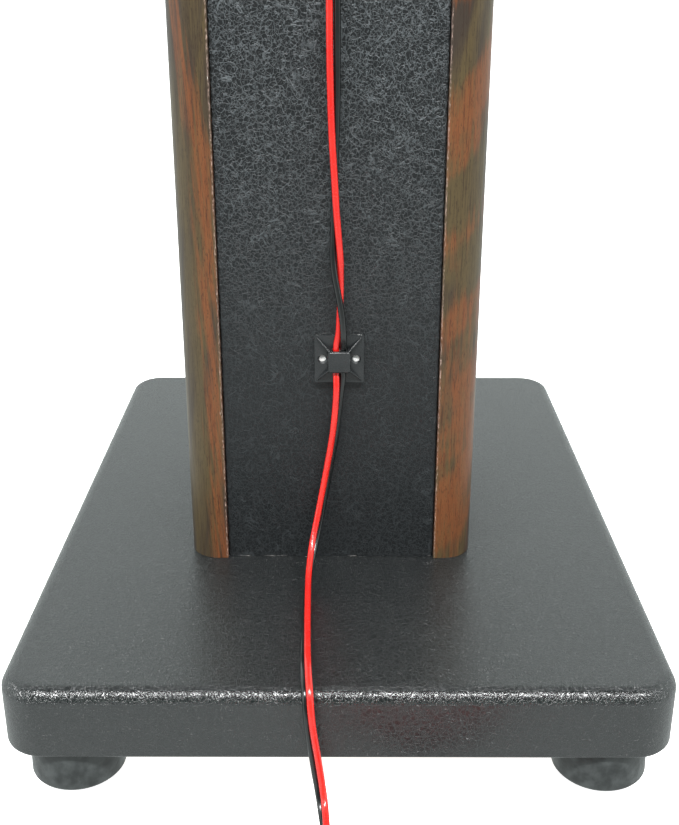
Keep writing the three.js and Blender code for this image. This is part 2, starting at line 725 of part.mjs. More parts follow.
/** A tube of six sides through level or gently climbing points, closed at both ends. */
function coilTube(points) {
  const up = new THREE.Vector3(0, 0, 1);
  const rings = points.map((point, i) => {
    const before = points[Math.max(i - 1, 0)];
    const after = points[Math.min(i + 1, points.length - 1)];
    const along = after.clone().sub(before).normalize();
    const level = new THREE.Vector3().crossVectors(up, along).normalize();
    const rise = new THREE.Vector3().crossVectors(along, level);
    return [0, 1, 2, 3, 4, 5].map((side) => {
      const angle = ((side + 0.5) * Math.PI) / 3;
      const ringPoint = point.clone().addScaledVector(level, CONDUCTOR_RADIUS * Math.cos(angle));
      return ringPoint.addScaledVector(rise, CONDUCTOR_RADIUS * Math.sin(angle));
    });
  });
  return loft(rings);
}

/** A bare copper tip that carries on from the last two points of a line. */
function addTip(name, before, end) {
  const along = end.clone().sub(before).normalize();
  const centre = end.clone().addScaledVector(along, FIT_GAP + TIP_LENGTH / 2);
  const tip = new THREE.CylinderGeometry(TIP_RADIUS, TIP_RADIUS, TIP_LENGTH, 8);
  const mesh = add(name, tip, COPPER, centre.toArray());
  mesh.quaternion.setFromUnitVectors(new THREE.Vector3(0, 1, 0), along);
}

/** The band round the coil's turns, on the side away from the stand. */
function coilTie() {
  const [cx, cy] = COIL_CENTRE;
  const innermost = COIL_OUTER_RADIUS - COIL_PITCH * (COIL_TURNS_PER_LAYER + 0.25) - CONDUCTOR_RADIUS;
  const outermost = COIL_OUTER_RADIUS + CONDUCTOR_RADIUS;
  const near = cy - Math.sqrt(innermost ** 2 - (TIE_WIDTH / 2) ** 2) + 2 * FIT_GAP;
  const far = cy - outermost - FIT_GAP;
  const low = COIL_LOW_HEIGHT - CONDUCTOR_RADIUS - FIT_GAP;
  const high = COIL_LOW_HEIGHT + PAIR_SPACING + COIL_LAYER_RISE + CONDUCTOR_RADIUS + FIT_GAP;
  const outside = roundedOutline(near - far + 2 * TIE_WALL, high - low + 2 * TIE_WALL, 2, 3);
  const inside = roundedOutline(near - far, high - low, 2 - TIE_WALL, 3);
  const shape = new THREE.Shape(outside.map(([x, y]) => new THREE.Vector2(x, y)));
  shape.holes.push(new THREE.Path(inside.map(([x, y]) => new THREE.Vector2(x, y))));
  const band = new THREE.ExtrudeGeometry(shape, { depth: TIE_WIDTH, bevelEnabled: false });
  band.translate(0, 0, -TIE_WIDTH / 2).rotateX(Math.PI / 2).rotateZ(Math.PI / 2);
  return { band, centre: [cx, (near + far) / 2, (low + high) / 2] };
}

function addLead() {
  const conductors = [
    ["red", -1, RED_PVC, COIL_LOW_HEIGHT + PAIR_SPACING],
    ["black", 1, BLACK_PVC, COIL_LOW_HEIGHT],
  ];
  for (const [colour, side, material, height] of conductors) {
    const line = conductorLine(side);
    add(`lead_${colour}`, conductorTube(line), material);
    const turns = coilLine(height);
    const gap = leastGap(turns, CONDUCTOR_DIAMETER).toFixed(2);
    console.log(`${colour} coil: least gap between its turns ${gap} mm`);
    add(`lead_coil_${colour}`, coilTube(turns), material);
    addTip(`lead_tip_${colour}_top`, line[1], line[0]);
    addTip(`lead_tip_${colour}_floor`, turns[turns.length - 2], turns[turns.length - 1]);
  }
  const { band, centre } = coilTie();
  add("coil_tie", band, TIE_FABRIC, centre);
}

addBaseAndFeet();
addColumn();
addBaseBolts();
addTop();
addTieMount("lower", LOWER_MOUNT_HEIGHT);
addTieMount("upper", UPPER_MOUNT_HEIGHT);
addLead();

export default stand;
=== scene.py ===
"""The looks of a speaker stand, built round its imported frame.

Vinyl-wrapped boards and panels, wood-grain side rails, rubber feet, adhesive tie mounts, the
fixings that hold them, and a red and black speaker lead whose spare length is tied in a coil.
Metres, +Z up; the rear side, which carries the lead, faces -Y. Every piece is modelled at the
place that the frame gives its node.
"""

import logging
import math
import random
from collections.abc import Callable, Iterator, Sequence
from contextlib import contextmanager
from dataclasses import dataclass
from enum import Enum
from itertools import pairwise
from typing import Protocol

import bmesh
import bpy
from mathutils import Matrix, Vector


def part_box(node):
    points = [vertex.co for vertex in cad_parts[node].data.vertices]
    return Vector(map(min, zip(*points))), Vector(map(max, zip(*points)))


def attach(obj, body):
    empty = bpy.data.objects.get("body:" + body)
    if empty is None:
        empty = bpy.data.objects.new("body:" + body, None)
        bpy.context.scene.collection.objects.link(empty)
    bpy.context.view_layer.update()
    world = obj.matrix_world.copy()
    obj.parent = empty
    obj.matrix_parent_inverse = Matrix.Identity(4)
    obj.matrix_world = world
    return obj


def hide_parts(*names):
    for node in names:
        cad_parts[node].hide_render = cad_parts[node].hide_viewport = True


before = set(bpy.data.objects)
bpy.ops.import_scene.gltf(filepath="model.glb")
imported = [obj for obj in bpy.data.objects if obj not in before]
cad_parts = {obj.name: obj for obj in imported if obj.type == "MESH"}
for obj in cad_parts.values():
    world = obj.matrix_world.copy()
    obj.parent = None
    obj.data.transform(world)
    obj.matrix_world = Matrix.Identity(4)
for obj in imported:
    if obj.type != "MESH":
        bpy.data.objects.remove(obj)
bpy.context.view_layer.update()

LOG = logging.getLogger("speaker_stand")
MM = 0.001
BODY = "root"
NEAR = 0.01 * MM
PLACES = ("rear_left", "rear_right", "front_left", "front_right")

Piece = bpy.types.Object
Material = bpy.types.Material
Edge = bmesh.types.BMEdge
Socket = bpy.types.NodeSocket
Point = tuple[float, float, float]
Profile = Sequence[tuple[float, float]]


class Part(Enum):
    """The kinds of mesh element that edit mode can select."""

    VERTEX = "VERT"
    EDGE = "EDGE"
    FACE = "FACE"


# ---------------------------------------------------------------- modelling steps


def only(*pieces: Piece) -> None:
    """Selects these objects alone and makes the first one active."""
    bpy.ops.object.select_all(action="DESELECT")
    for piece in pieces:
        piece.select_set(True)
    bpy.context.view_layer.objects.active = pieces[0]


@contextmanager
def edit(piece: Piece) -> Iterator[None]:
    """Opens a piece in edit mode with nothing selected, and closes it again.

    Args:
        piece: The mesh object to shape.
    """
    only(piece)
    bpy.ops.object.mode_set(mode="EDIT")
    bpy.ops.mesh.select_all(action="DESELECT")
    yield
    bpy.ops.object.mode_set(mode="OBJECT")


def pick(piece: Piece, part: Part, wanted: Callable[..., bool]) -> None:
    """Selects the elements of a piece in edit mode that pass a test.

    Args:
        piece: The mesh object, open in edit mode.
        part: Which kind of element is tested.
        wanted: The test, given a bmesh vertex, edge or face.
    """
    bpy.ops.mesh.select_mode(type=part.value)
    bpy.ops.mesh.select_all(action="DESELECT")
    mesh = bmesh.from_edit_mesh(piece.data)
    elements = {Part.VERTEX: mesh.verts, Part.EDGE: mesh.edges, Part.FACE: mesh.faces}[part]
    for element in [element for element in elements if wanted(element)]:
        element.select_set(True)
    bmesh.update_edit_mesh(piece.data)


def adopt(name: str) -> Piece:
    """Names the new primitive and puts its place and size into its mesh.

    Args:
        name: The piece's name.

    Returns:
        The primitive's object, at the origin.
    """
    piece = bpy.context.active_object
    piece.name = piece.data.name = name
    only(piece)
    bpy.ops.object.transform_apply(location=True, rotation=True, scale=True)
    return piece


def block(name: str, low: Sequence[float], high: Sequence[float]) -> Piece:
    """Adds a box between two corners, to be shaped further.

    Args:
        name: The piece's name.
        low: The lowest corner.
        high: The highest corner.

    Returns:
        The new object.
    """
    low, high = Vector(low), Vector(high)
    bpy.ops.mesh.primitive_cube_add(size=1, location=(low + high) / 2, scale=high - low)
    return adopt(name)


def turned(
    name: str, centre: Sequence[float], profile: Profile, sides: int = 48, hollow: bool = False
) -> Piece:
    """Models a body of revolution about an upright axis by extruding and resizing a circle.

    Args:
        name: The piece's name.
        centre: The point that the profile's heights start from.
        profile: The (radius, height) points, in order.
        sides: How many sides the circle has.
        hollow: Whether the profile closes on itself; otherwise its two ends are capped.

    Returns:
        The new object.
    """
    radius, height = profile[0]
    start = Vector(centre) + Vector((0, 0, height))
    bpy.ops.mesh.primitive_circle_add(vertices=sides, radius=radius, fill_type="NOTHING", location=start)
    piece = adopt(name)
    with edit(piece):
        bpy.ops.mesh.select_all(action="SELECT")
        for (radius, height), (next_radius, next_height) in pairwise(profile):
            lift = {"value": (0, 0, next_height - height)}
            bpy.ops.mesh.extrude_edges_move(TRANSFORM_OT_translate=lift)
            grow = next_radius / radius
            bpy.ops.transform.resize(value=(grow, grow, 1), center_override=centre)
        bpy.ops.mesh.select_all(action="SELECT")
        if hollow:
            bpy.ops.mesh.remove_doubles(threshold=NEAR)
        else:
            bpy.ops.mesh.fill_holes(sides=0)
            bpy.ops.mesh.select_all(action="SELECT")
        bpy.ops.mesh.normals_make_consistent(inside=False)
    return piece


def bevel(piece: Piece, wanted: Callable[[Edge], bool], width: float, segments: int) -> None:
    """Rounds the edges of a piece that pass a test.

    Args:
        piece: The mesh object.
        wanted: The test of an edge.
        width: The rounding's radius.
        segments: How many strips the rounding has; one makes a chamfer.
    """
    with edit(piece):
        pick(piece, Part.EDGE, wanted)
        bpy.ops.mesh.bevel(offset=width, segments=segments, profile=0.5, affect="EDGES")


def modify(piece: Piece, kind: str, **settings: object) -> None:
    """Adds a modifier to a piece and applies it.

    Args:
        piece: The mesh object.
        kind: The modifier's type.
        settings: The modifier's own settings.
    """
    modifier = piece.modifiers.new(kind.lower(), kind)
    for setting, value in settings.items():
        setattr(modifier, setting, value)
    only(piece)
    bpy.ops.object.modifier_apply(modifier=modifier.name)


def boolean(piece: Piece, tool: Piece, operation: str) -> None:
    """Cuts a tool out of a piece, or joins it on, and removes the tool.

    Args:
        piece: The mesh object that is changed.
        tool: The other mesh object.
        operation: DIFFERENCE or UNION.
    """
    settings = {"operation": operation, "solver": "EXACT", "material_mode": "TRANSFER"}
    modify(piece, "BOOLEAN", object=tool, **settings)
    bpy.data.objects.remove(tool)


def join(name: str, pieces: Sequence[Piece]) -> Piece:
    """Puts several meshes into one object.

    Args:
        name: The joined piece's name.
        pieces: The objects to join.

    Returns:
        The joined object.
    """
    only(*pieces)
    bpy.ops.object.join()
    joined = bpy.context.active_object
    joined.name = joined.data.name = name
    return joined


def copy(piece: Piece, name: str, move: Matrix) -> Piece:
    """Copies a piece with a mesh of its own, moved within that mesh.

    Args:
        piece: The object to copy.
        name: The copy's name.
        move: The matrix that takes the piece to its new place.

    Returns:
        The copy.
    """
    twin = piece.copy()
    twin.data = piece.data.copy()
    twin.name = twin.data.name = name
    bpy.context.scene.collection.objects.link(twin)
    twin.data.transform(move)
    return twin


def smooth(piece: Piece, degrees: float = 35) -> None:
    """Shades a piece smoothly across gentle edges, with flat faces kept flat.

    Args:
        piece: The mesh object.
        degrees: The sharpest edge that is smoothed.
    """
    only(piece)
    bpy.ops.object.shade_smooth_by_angle(angle=math.radians(degrees))
    modify(piece, "WEIGHTED_NORMAL", keep_sharp=True)


def runs_along(edge: Edge, axis: int) -> bool:
    """Whether an edge runs along the axis with this index."""
    return abs((edge.verts[0].co - edge.verts[1].co).normalized()[axis]) > 0.999


def upright(edge: Edge) -> bool:
    """Whether an edge runs along Z."""
    return runs_along(edge, 2)


def level(height: float) -> Callable[[Edge], bool]:
    """Makes a test for edges that lie at a height."""
    return lambda edge: all(abs(vertex.co.z - height) < NEAR for vertex in edge.verts)


def middle(node: str) -> Vector:
    """The centre of a CAD node's box."""
    low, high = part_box(node)
    return (low + high) / 2


def rounded_rim(radius: float, top: float, rounding: float) -> list[tuple[float, float]]:
    """The (radius, height) points that round off a profile's upper outer rim."""
    turns = [math.radians(angle) for angle in (30, 60, 90)]
    return [(radius - rounding * (1 - math.cos(t)), top - rounding * (1 - math.sin(t))) for t in turns]


# ---------------------------------------------------------------- finishes


class Nodes:
    """A node tree under construction: adds nodes, links them, and hands back their outputs."""

    def __init__(self, tree: bpy.types.NodeTree, coordinates: str) -> None:
        """Starts with the coordinates of this name, which the patterns are laid in."""
        self.tree = tree
        self.place = self.add("TexCoord").outputs[coordinates]

    def add(self, kind: str, inputs: dict | None = None, **settings: object) -> bpy.types.ShaderNode:
        """Adds one node.

        Args:
            kind: The node's type, without its prefix.
            inputs: What goes into its sockets: numbers, colours or other nodes' outputs.
            settings: The node's own settings.

        Returns:
            The node.
        """
        node = self.tree.nodes.new(f"ShaderNode{kind}")
        for setting, value in settings.items():
            setattr(node, setting, value)
        for socket, value in (inputs or {}).items():
            self.feed(node.inputs[socket], value)
        return node

    def feed(self, socket: Socket, value: object) -> None:
        """Links an output to a socket, or sets the socket's value."""
        if isinstance(value, Socket):
            self.tree.links.new(value, socket)
        else:
            socket.default_value = value

    def stretched(self, sizes: Point, turn: Point = (0, 0, 0), start: Socket | None = None) -> Socket:
        """Coordinates in which a pattern's unit has these sizes along X, Y and Z.

        Args:
            sizes: The unit's size along each axis, in metres.
            turn: How far the pattern is turned about each axis, in degrees.
            start: The coordinates to begin with, by default the object's own.

        Returns:
            The vector output.
        """
        rotation = [math.radians(angle) for angle in turn]
        turned = self.add("Mapping", {0: start or self.place, "Rotation": rotation}, vector_type="TEXTURE")
        return self.add("Mapping", {0: turned.outputs[0], "Scale": [1 / size for size in sizes]}).outputs[0]

    def noise(self, where: Socket, detail: float = 3, rough: float = 0.5, warp: float = 0) -> Socket:
        """Cloudy noise of unit size, from 0 to 1."""
        inputs = {"Vector": where, "Scale": 1.0, "Detail": detail, "Roughness": rough, "Distortion": warp}
        return self.add("TexNoise", inputs).outputs[0]

    def cloud(self, size: float, detail: float = 3, rough: float = 0.5) -> Socket:
        """Cloudy noise of the same size along every axis, from 0 to 1."""
        return self.noise(self.stretched((size,) * 3), detail, rough)

    def cells(self, where: Socket, feature: str = "F1") -> Socket:
        """Distances in a cellular pattern of unit size."""
        return self.add("TexVoronoi", {"Vector": where, "Scale": 1.0}, feature=feature).outputs["Distance"]

    def math(self, operation: str, *values: object) -> Socket:
        """The output of a Math node."""
        return self.add("Math", dict(enumerate(values)), operation=operation).outputs[0]

    def times(self, first: object, second: object) -> Socket:
        """The product of two values."""
        return self.math("MULTIPLY", first, second)

    def plus(self, first: object, second: object) -> Socket:
        """The sum of two values."""
        return self.math("ADD", first, second)

    def minus(self, first: object, second: object) -> Socket:
        """The first value less the second."""
        return self.math("SUBTRACT", first, second)

    def ramp(self, value: Socket, low: float, high: float, to_low: float = 0, to_high: float = 1) -> Socket:
        """Maps a value's range to another one, smoothly and without overshooting."""
        inputs = {"Value": value, "From Min": low, "From Max": high, "To Min": to_low, "To Max": to_high}
        return self.add("MapRange", inputs, interpolation_type="SMOOTHSTEP").outputs[0]

    def mix(self, factor: object, first: object, second: object) -> Socket:
        """Blends two colours."""
        node = self.add("Mix", data_type="RGBA")
        for socket, value in ((0, factor), (6, first), (7, second)):
            self.feed(node.inputs[socket], value)
        return node.outputs[2]

    def axes(self, where: Socket | None = None) -> bpy.types.NodeOutputs:
        """The three coordinates of a vector, by default of the place itself."""
        return self.add("SeparateXYZ", {0: where or self.place}).outputs

    def ridges(self, where: Socket, low: float, high: float, warp: float, detail: float) -> Socket:
        """Thin winding ridges where a cloudy noise passes its middle value, from 0 to 1."""
        away = self.math("ABSOLUTE", self.minus(self.noise(where, detail, 0.5, warp), 0.5))
        return self.ramp(away, (1 - high) / 2, (1 - low) / 2, 1, 0)


class Shader(Nodes):
    """A material under construction, with a Principled surface."""

    def __init__(self, name: str, **surface: object) -> None:
        """Starts the material.

        Args:
            name: The material's name.
            surface: Values for the surface's own sockets, with underscores for spaces.
        """
        self.material = bpy.data.materials.new(name)
        self.material.use_nodes = True
        super().__init__(self.material.node_tree, "Object")
        self.surface = self.tree.nodes["Principled BSDF"]
        for socket, value in surface.items():
            self.surface.inputs[socket.replace("_", " ").title().replace("Ior", "IOR")].default_value = value

    def relief(self, *layers: tuple[Socket, float]) -> None:
        """Gives the surface a relief.

        Args:
            layers: Pairs of a height, from 0 to 1, and the depth in metres that it stands for.
        """
        normal = None
        for height, depth in layers:
            bump = self.add("Bump", {"Height": height, "Distance": depth, "Strength": 1.0})
            if normal is not None:
                self.feed(bump.inputs["Normal"], normal)
            normal = bump.outputs[0]
        self.feed(self.surface.inputs["Normal"], normal)

    def finish(self, colour: object, roughness: object) -> Material:
        """Feeds the colour and the roughness, and returns the material."""
        self.feed(self.surface.inputs["Base Color"], colour)
        self.feed(self.surface.inputs["Roughness"], roughness)
        return self.material


def rgb(red: float, green: float, blue: float) -> tuple[float, float, float, float]:
    """A linear colour with full opacity."""
    return (red, green, blue, 1.0)


class Finish(Protocol):
    """What every finish has: its material's name, its slot's name, and how the material is built."""

    name: str
    slot: str

    def make(self) -> Material:
        """Builds the material."""


@dataclass(frozen=True)
class Vinyl:
    """Black leather-grain vinyl: a net of winding ridges crossed by longer creases, with painted glints."""

    name: str
    slot: str = "vinyl_wrap"
    valley: tuple = rgb(0.0036, 0.0048, 0.0051)
    # crest: the raised grain's colour, lighter than the valleys as a painted glint of the light on it
    crest: tuple = rgb(0.0090, 0.0110, 0.0115)
    grain: float = 3.2 * MM
    grain_depth: float = 0.10 * MM
    crease: float = 16 * MM
    crease_depth: float = 0.08 * MM
    roughness: tuple[float, float] = (0.27, 0.35)
    refraction: float = 1.72
    # the heights between which the grain grows bolder and its painted glints brighter, and their share at
    # the lower one
    bolder_and_lit: tuple[float, float, float] = (0.0, 0.1, 1.0)
    # the long creases come and go in patches of this size
    patch: float = 13 * MM
    wave: float = 45 * MM
    wave_depth: float = 0.2 * MM
    fine: float = 0.5 * MM
    fine_depth: float = 0.02 * MM
    # the heights between which a board's rounded edge lies, where the stretched vinyl is finely gathered
    gathers: tuple[float, float] | None = None
    gather_depth: float = 0.18 * MM
    gather_roughness: float = 0.21
    # the height of a cut lower edge, where the pale backing shows in worn patches
    cut_edge: float | None = None
    worn_patch: float = 14 * MM
    backing: tuple = rgb(0.26, 0.25, 0.24)

    def make(self) -> Material:
        """Builds the material."""
        shader = Shader(self.name, ior=self.refraction)
        low, high, least = self.bolder_and_lit
        # the painted glints brighten upwards with the relief, as painted light that falls from above
        bold_and_lit = shader.ramp(shader.axes()[2], low, high, least, 1)
        creases = shader.times(self.creases(shader), bold_and_lit)
        grain = shader.times(bold_and_lit, self.net(shader))
        fine = shader.cloud(self.fine, 2)
        waves = shader.cloud(self.wave, 1)
        layers = [(waves, self.wave_depth), (creases, self.crease_depth)]
        layers += [(grain, self.grain_depth), (fine, self.fine_depth)]
        roughness = shader.ramp(fine, 0.3, 0.7, *self.roughness)
        if self.gathers:
            on_edge = self.on_edge(shader)
            layers.append((shader.times(on_edge, self.gathered(shader)), self.gather_depth))
            smoother = shader.minus(roughness, self.gather_roughness)
            roughness = shader.minus(roughness, shader.times(on_edge, smoother))
        shader.relief(*layers)
        # painted glints: the raised grain and the creases are painted towards the lighter crest colour
        light = shader.math("MAXIMUM", shader.times(grain, 0.8), creases)
        colour = shader.mix(light, self.valley, self.crest)
        if self.cut_edge is not None:
            above = shader.minus(shader.axes()[2], self.cut_edge)
            at_edge = shader.ramp(above, 0.3 * MM, 0.6 * MM, 1, 0)
            worn = shader.ramp(shader.cloud(self.worn_patch, 3, 0.6), 0.50, 0.64)
            colour = shader.mix(shader.times(at_edge, worn), colour, self.backing)
        return shader.finish(colour, roughness)

    def net(self, shader: Shader) -> Socket:
        """The fine grain: a net of bent cells with winding ridges over it."""
        even = shader.stretched((self.grain,) * 3)
        worms = shader.ridges(even, 0.93, 0.99, 1.4, 2)
        sway = shader.add("TexNoise", {"Vector": even, "Scale": 1.0, "Detail": 2.0}).outputs["Color"]
        aside = shader.add("VectorMath", {0: sway, "Scale": 0.9 * self.grain}, operation="SCALE").outputs[0]
        bent = shader.add("VectorMath", {0: shader.place, 1: aside}, operation="ADD").outputs[0]
        edges = shader.cells(shader.stretched((0.75 * self.grain,) * 3, start=bent), "DISTANCE_TO_EDGE")
        return shader.math("MAXIMUM", shader.ramp(edges, 0.0, 0.075, 1, 0), shader.times(worms, 0.8))

    def creases(self, shader: Shader) -> Socket:
        """The long winding creases."""
        patches = shader.ramp(shader.cloud(self.patch, 2), 0.38, 0.62)
        lines = shader.ridges(shader.stretched((self.crease,) * 3), 0.965, 0.995, 1.8, 3)
        return shader.times(lines, patches)

    def on_edge(self, shader: Shader) -> Socket:
        """Where a board's rounded edge lies."""
        low, high = self.gathers
        height = shader.axes()[2]
        return shader.times(
            shader.ramp(height, low + 0.5 * MM, low + 2.5 * MM),
            shader.ramp(height, high - 1.1 * MM, high - 0.6 * MM, 1, 0),
        )

    def gathered(self, shader: Shader) -> Socket:
        """Short creases that slant one way and the other across a board's rounded edge."""
        crossing = (shader.stretched((0.85 * MM, 5 * MM, 5 * MM), (0, 0, turn)) for turn in (40, -45))
        one, other = (shader.ramp(shader.noise(slant, 1), 0.38, 0.62) for slant in crossing)
        side = shader.ramp(shader.cloud(7 * MM, 1), 0.47, 0.53)
        both = shader.add("Mix", data_type="FLOAT")
        for socket, value in ((0, side), (2, one), (3, other)):
            shader.feed(both.inputs[socket], value)
        return both.outputs[0]


@dataclass(frozen=True)
class WoodFilm:
    """Satin wood-grain film: fine upright fibres over olive brown, with slanting orange-brown bands."""

    name: str
    # -1 for the rail on the left of the column and 1 for the one on the right
    side: int
    slot: str = "wood_grain_film"
    orange: tuple = rgb(0.185, 0.058, 0.018)
    olive: tuple = rgb(0.074, 0.053, 0.023)
    purple: tuple = rgb(0.036, 0.026, 0.019)
    dark: tuple = rgb(0.022, 0.012, 0.007)
    backing: tuple = rgb(0.50, 0.36, 0.31)
    chip: tuple = rgb(0.78, 0.74, 0.70)
    # the seam's distance from the panel's middle
    seam: float = 53.5 * MM
    # the left band is mirrored in height here, so that the unseen upper half mirrors the lower one
    fold: float = 0.345

    def make(self) -> Material:
        """Builds the material."""
        shader = Shader(self.name, specular_ior_level=0.4)
        x, y, height = shader.axes()
        from_middle = shader.math("ABSOLUTE", shader.minus(x, middle("column_panel_rear").x))
        from_seam = shader.minus(from_middle, self.seam)
        across = self.unrolled(shader, from_seam, y)
        flat = shader.add("CombineXYZ", {0: across, 1: 0.37 * self.side, 2: height}).outputs[0]
        if self.side < 0:
            warm = self.left_band(shader, across, height, flat)
        else:
            warm = self.right_bands(shader, height, flat)
        fibres = shader.noise(shader.stretched((0.7 * MM, 1, 16 * MM), start=flat), 4, 0.7, 0.2)
        pores = shader.noise(shader.stretched((0.4 * MM, 1, 2.6 * MM), start=flat), 2, 0.6)
        broad = shader.stretched((11 * MM, 1, 85 * MM), (0, 6 * self.side, 0), flat)
        shade = shader.noise(broad, 2, 0.5, 0.4)
        colour = shader.mix(shader.ramp(shade, 0.42, 0.68), self.olive, self.purple)
        frayed = shader.noise(shader.stretched((0.6 * MM, 0.6 * MM, 2.2 * MM)), 4, 0.75)
        worn = shader.noise(shader.stretched((1.6 * MM, 1.6 * MM, 9 * MM)), 3, 0.7)
        near = shader.ramp(from_seam, 0.35 * MM, 1.0 * MM, 1, 0)
        close = shader.ramp(from_seam, 0.8 * MM, 1.5 * MM, 1, 0)
        tones = (
            (shader.times(warm, shader.ramp(fibres, 0.30, 0.62, 0.35, 1.0)), self.orange),
            (shader.ramp(fibres, 0.44, 0.74, 0, 0.85), self.dark),
            (shader.ramp(pores, 0.56, 0.68, 0, 0.65), self.dark),
            (shader.times(near, shader.ramp(frayed, 0.46, 0.66, 0, 0.8)), self.backing),
            (shader.times(close, shader.ramp(worn, 0.70, 0.74)), self.chip),
        )
        for share, tone in tones:
            colour = shader.mix(share, colour, tone)
        shader.relief((fibres, 0.02 * MM), (pores, 0.02 * MM))
        return shader.finish(colour, shader.ramp(fibres, 0.2, 0.8, 0.34, 0.46))

    def unrolled(self, shader: Shader, from_seam: Socket, y: Socket) -> Socket:
        """The way over the film from the rear seam out, round the rail and in to the front seam."""
        low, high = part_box("side_rail_left")
        way_back = shader.times(shader.minus(high.x - low.x, from_seam), 2.0)
        in_front = shader.math("GREATER_THAN", y, (low.y + high.y) / 2)
        outwards = shader.plus(from_seam, shader.times(in_front, way_back))
        return shader.plus(outwards, shader.minus(y, low.y))

    def left_band(self, shader: Shader, across: Socket, height: Socket, flat: Socket) -> Socket:
        """One steep band that comes in from the rail's outer edge and then follows the seam."""
        folded = shader.math("PINGPONG", height, self.fold)
        sway = shader.noise(shader.stretched((1, 1, 40 * MM), start=flat), 1)
        drift = shader.ramp(sway, 0.3, 0.7, -2 * MM, 2 * MM)
        line = shader.plus(shader.ramp(folded, 0.235, self.fold, 3.5 * MM, 19 * MM), drift)
        away = shader.math("ABSOLUTE", shader.minus(across, line))
        streaks = shader.noise(shader.stretched((1.8 * MM, 1, 45 * MM), (0, 5, 0), flat), 3, 0.6)
        soft = shader.plus(away, shader.ramp(streaks, 0.3, 0.7, -3.5 * MM, 3.5 * MM))
        return shader.ramp(soft, 0, 7 * MM, 1, 0)

    def right_bands(self, shader: Shader, height: Socket, flat: Socket) -> Socket:
        """Soft bands that rise outwards, wider and closer together in the lower half."""
        bands = shader.noise(shader.stretched((90 * MM, 1, 24 * MM), (0, -42, 0), flat), 2, 0.45, 0.3)
        streaks = shader.noise(shader.stretched((3 * MM, 1, 40 * MM), start=flat), 3, 0.6)
        low_down = shader.ramp(height, 0.10, 0.30, 0.10, 0.0)
        total = shader.plus(shader.plus(bands, low_down), shader.ramp(streaks, 0.3, 0.7, -0.07, 0.07))
        return shader.ramp(total, 0.45, 0.64)


@dataclass(frozen=True)
class Moulded:
    """A moulded plastic or rubber: faint mottling and a fine texture."""

    name: str
    slot: str
    colour: tuple
    shade: tuple
    roughness: tuple[float, float]
    texture: float = 0.6 * MM
    depth: float = 0.015 * MM
    coat: float = 0.0
    dents: float = 0.05 * MM
    cloud: float = 11 * MM

    def make(self) -> Material:
        """Builds the material."""
        shader = Shader(self.name, coat_weight=self.coat, coat_roughness=0.15)
        cloud = shader.cloud(self.cloud, 3)
        fine = shader.cloud(self.texture, 3)
        shader.relief((fine, self.depth), (cloud, self.dents))
        colour = shader.mix(shader.ramp(cloud, 0.3, 0.7), self.colour, self.shade)
        return shader.finish(colour, shader.ramp(fine, 0.3, 0.7, *self.roughness))


@dataclass(frozen=True)
class Metal:
    """A plated or blackened metal with fine turning marks."""

    name: str
    slot: str
    colour: tuple
    shade: tuple
    roughness: tuple[float, float]

    def make(self) -> Material:
        """Builds the material."""
        shader = Shader(self.name, metallic=1.0)
        marks = shader.noise(shader.stretched((1.5 * MM, 1.5 * MM, 0.12 * MM)), 2)
        cloud = shader.cloud(5 * MM, 3)
        shader.relief((marks, 0.012 * MM))
        colour = shader.mix(shader.ramp(cloud, 0.35, 0.7), self.colour, self.shade)
        return shader.finish(colour, shader.ramp(marks, 0.3, 0.7, *self.roughness))


@dataclass(frozen=True)
class Fibreboard:
    """Sawn fibreboard: pale brown with darker fibres and a dusty surface."""

    name: str = "raw_fibreboard"
    slot: str = "raw_board"
    light: tuple = rgb(0.42, 0.29, 0.165)
    dark: tuple = rgb(0.25, 0.155, 0.08)

    def make(self) -> Material:
        """Builds the material."""
        shader = Shader(self.name)
        flecks = shader.noise(shader.stretched((1.4 * MM, 1.4 * MM, 0.5 * MM)), 4, 0.7)
        cloud = shader.cloud(30 * MM, 2)
        shader.relief((flecks, 0.08 * MM))
        amount = shader.times(shader.ramp(flecks, 0.35, 0.7), shader.ramp(cloud, 0.2, 0.8, 0.5, 1))
        colour = shader.mix(amount, self.light, self.dark)
        return shader.finish(colour, shader.ramp(flecks, 0.3, 0.7, 0.75, 0.92))


@dataclass(frozen=True)
class Foam:
    """White adhesive foam with open pores, painted greyer inside as painted shade."""

    name: str = "adhesive_foam"
    slot: str = "mount_foam"
    colour: tuple = rgb(0.86, 0.86, 0.84)
    # the pores' grey is painted shade in their hollows
    pore_shade: tuple = rgb(0.62, 0.62, 0.60)

    def make(self) -> Material:
        """Builds the material."""
        shader = Shader(self.name)
        pores = shader.cells(shader.stretched((0.35 * MM,) * 3))
        shader.relief((pores, 0.06 * MM))
        return shader.finish(shader.mix(shader.ramp(pores, 0.0, 0.4, 1, 0), self.colour, self.pore_shade), 0.85)


@dataclass(frozen=True)
class HookAndLoop:
    """Black hook-and-loop tape: a pile of tiny loops over a woven ground."""

    name: str = "hook_and_loop_tape"
    slot: str = "tie_fabric"
    ground: tuple = rgb(0.008, 0.008, 0.009)
    loops: tuple = rgb(0.035, 0.035, 0.038)

    def make(self) -> Material:
        """Builds the material."""
        shader = Shader(self.name, sheen_weight=0.3, sheen_roughness=0.5)
        pile = shader.cells(shader.stretched((0.32 * MM,) * 3))
        ribs = shader.noise(shader.stretched((0.5 * MM, 4 * MM, 4 * MM)), 2)
        shader.relief((pile, 0.15 * MM), (ribs, 0.08 * MM))
        return shader.finish(shader.mix(shader.ramp(pile, 0.1, 0.6, 1, 0), self.ground, self.loops), 0.9)


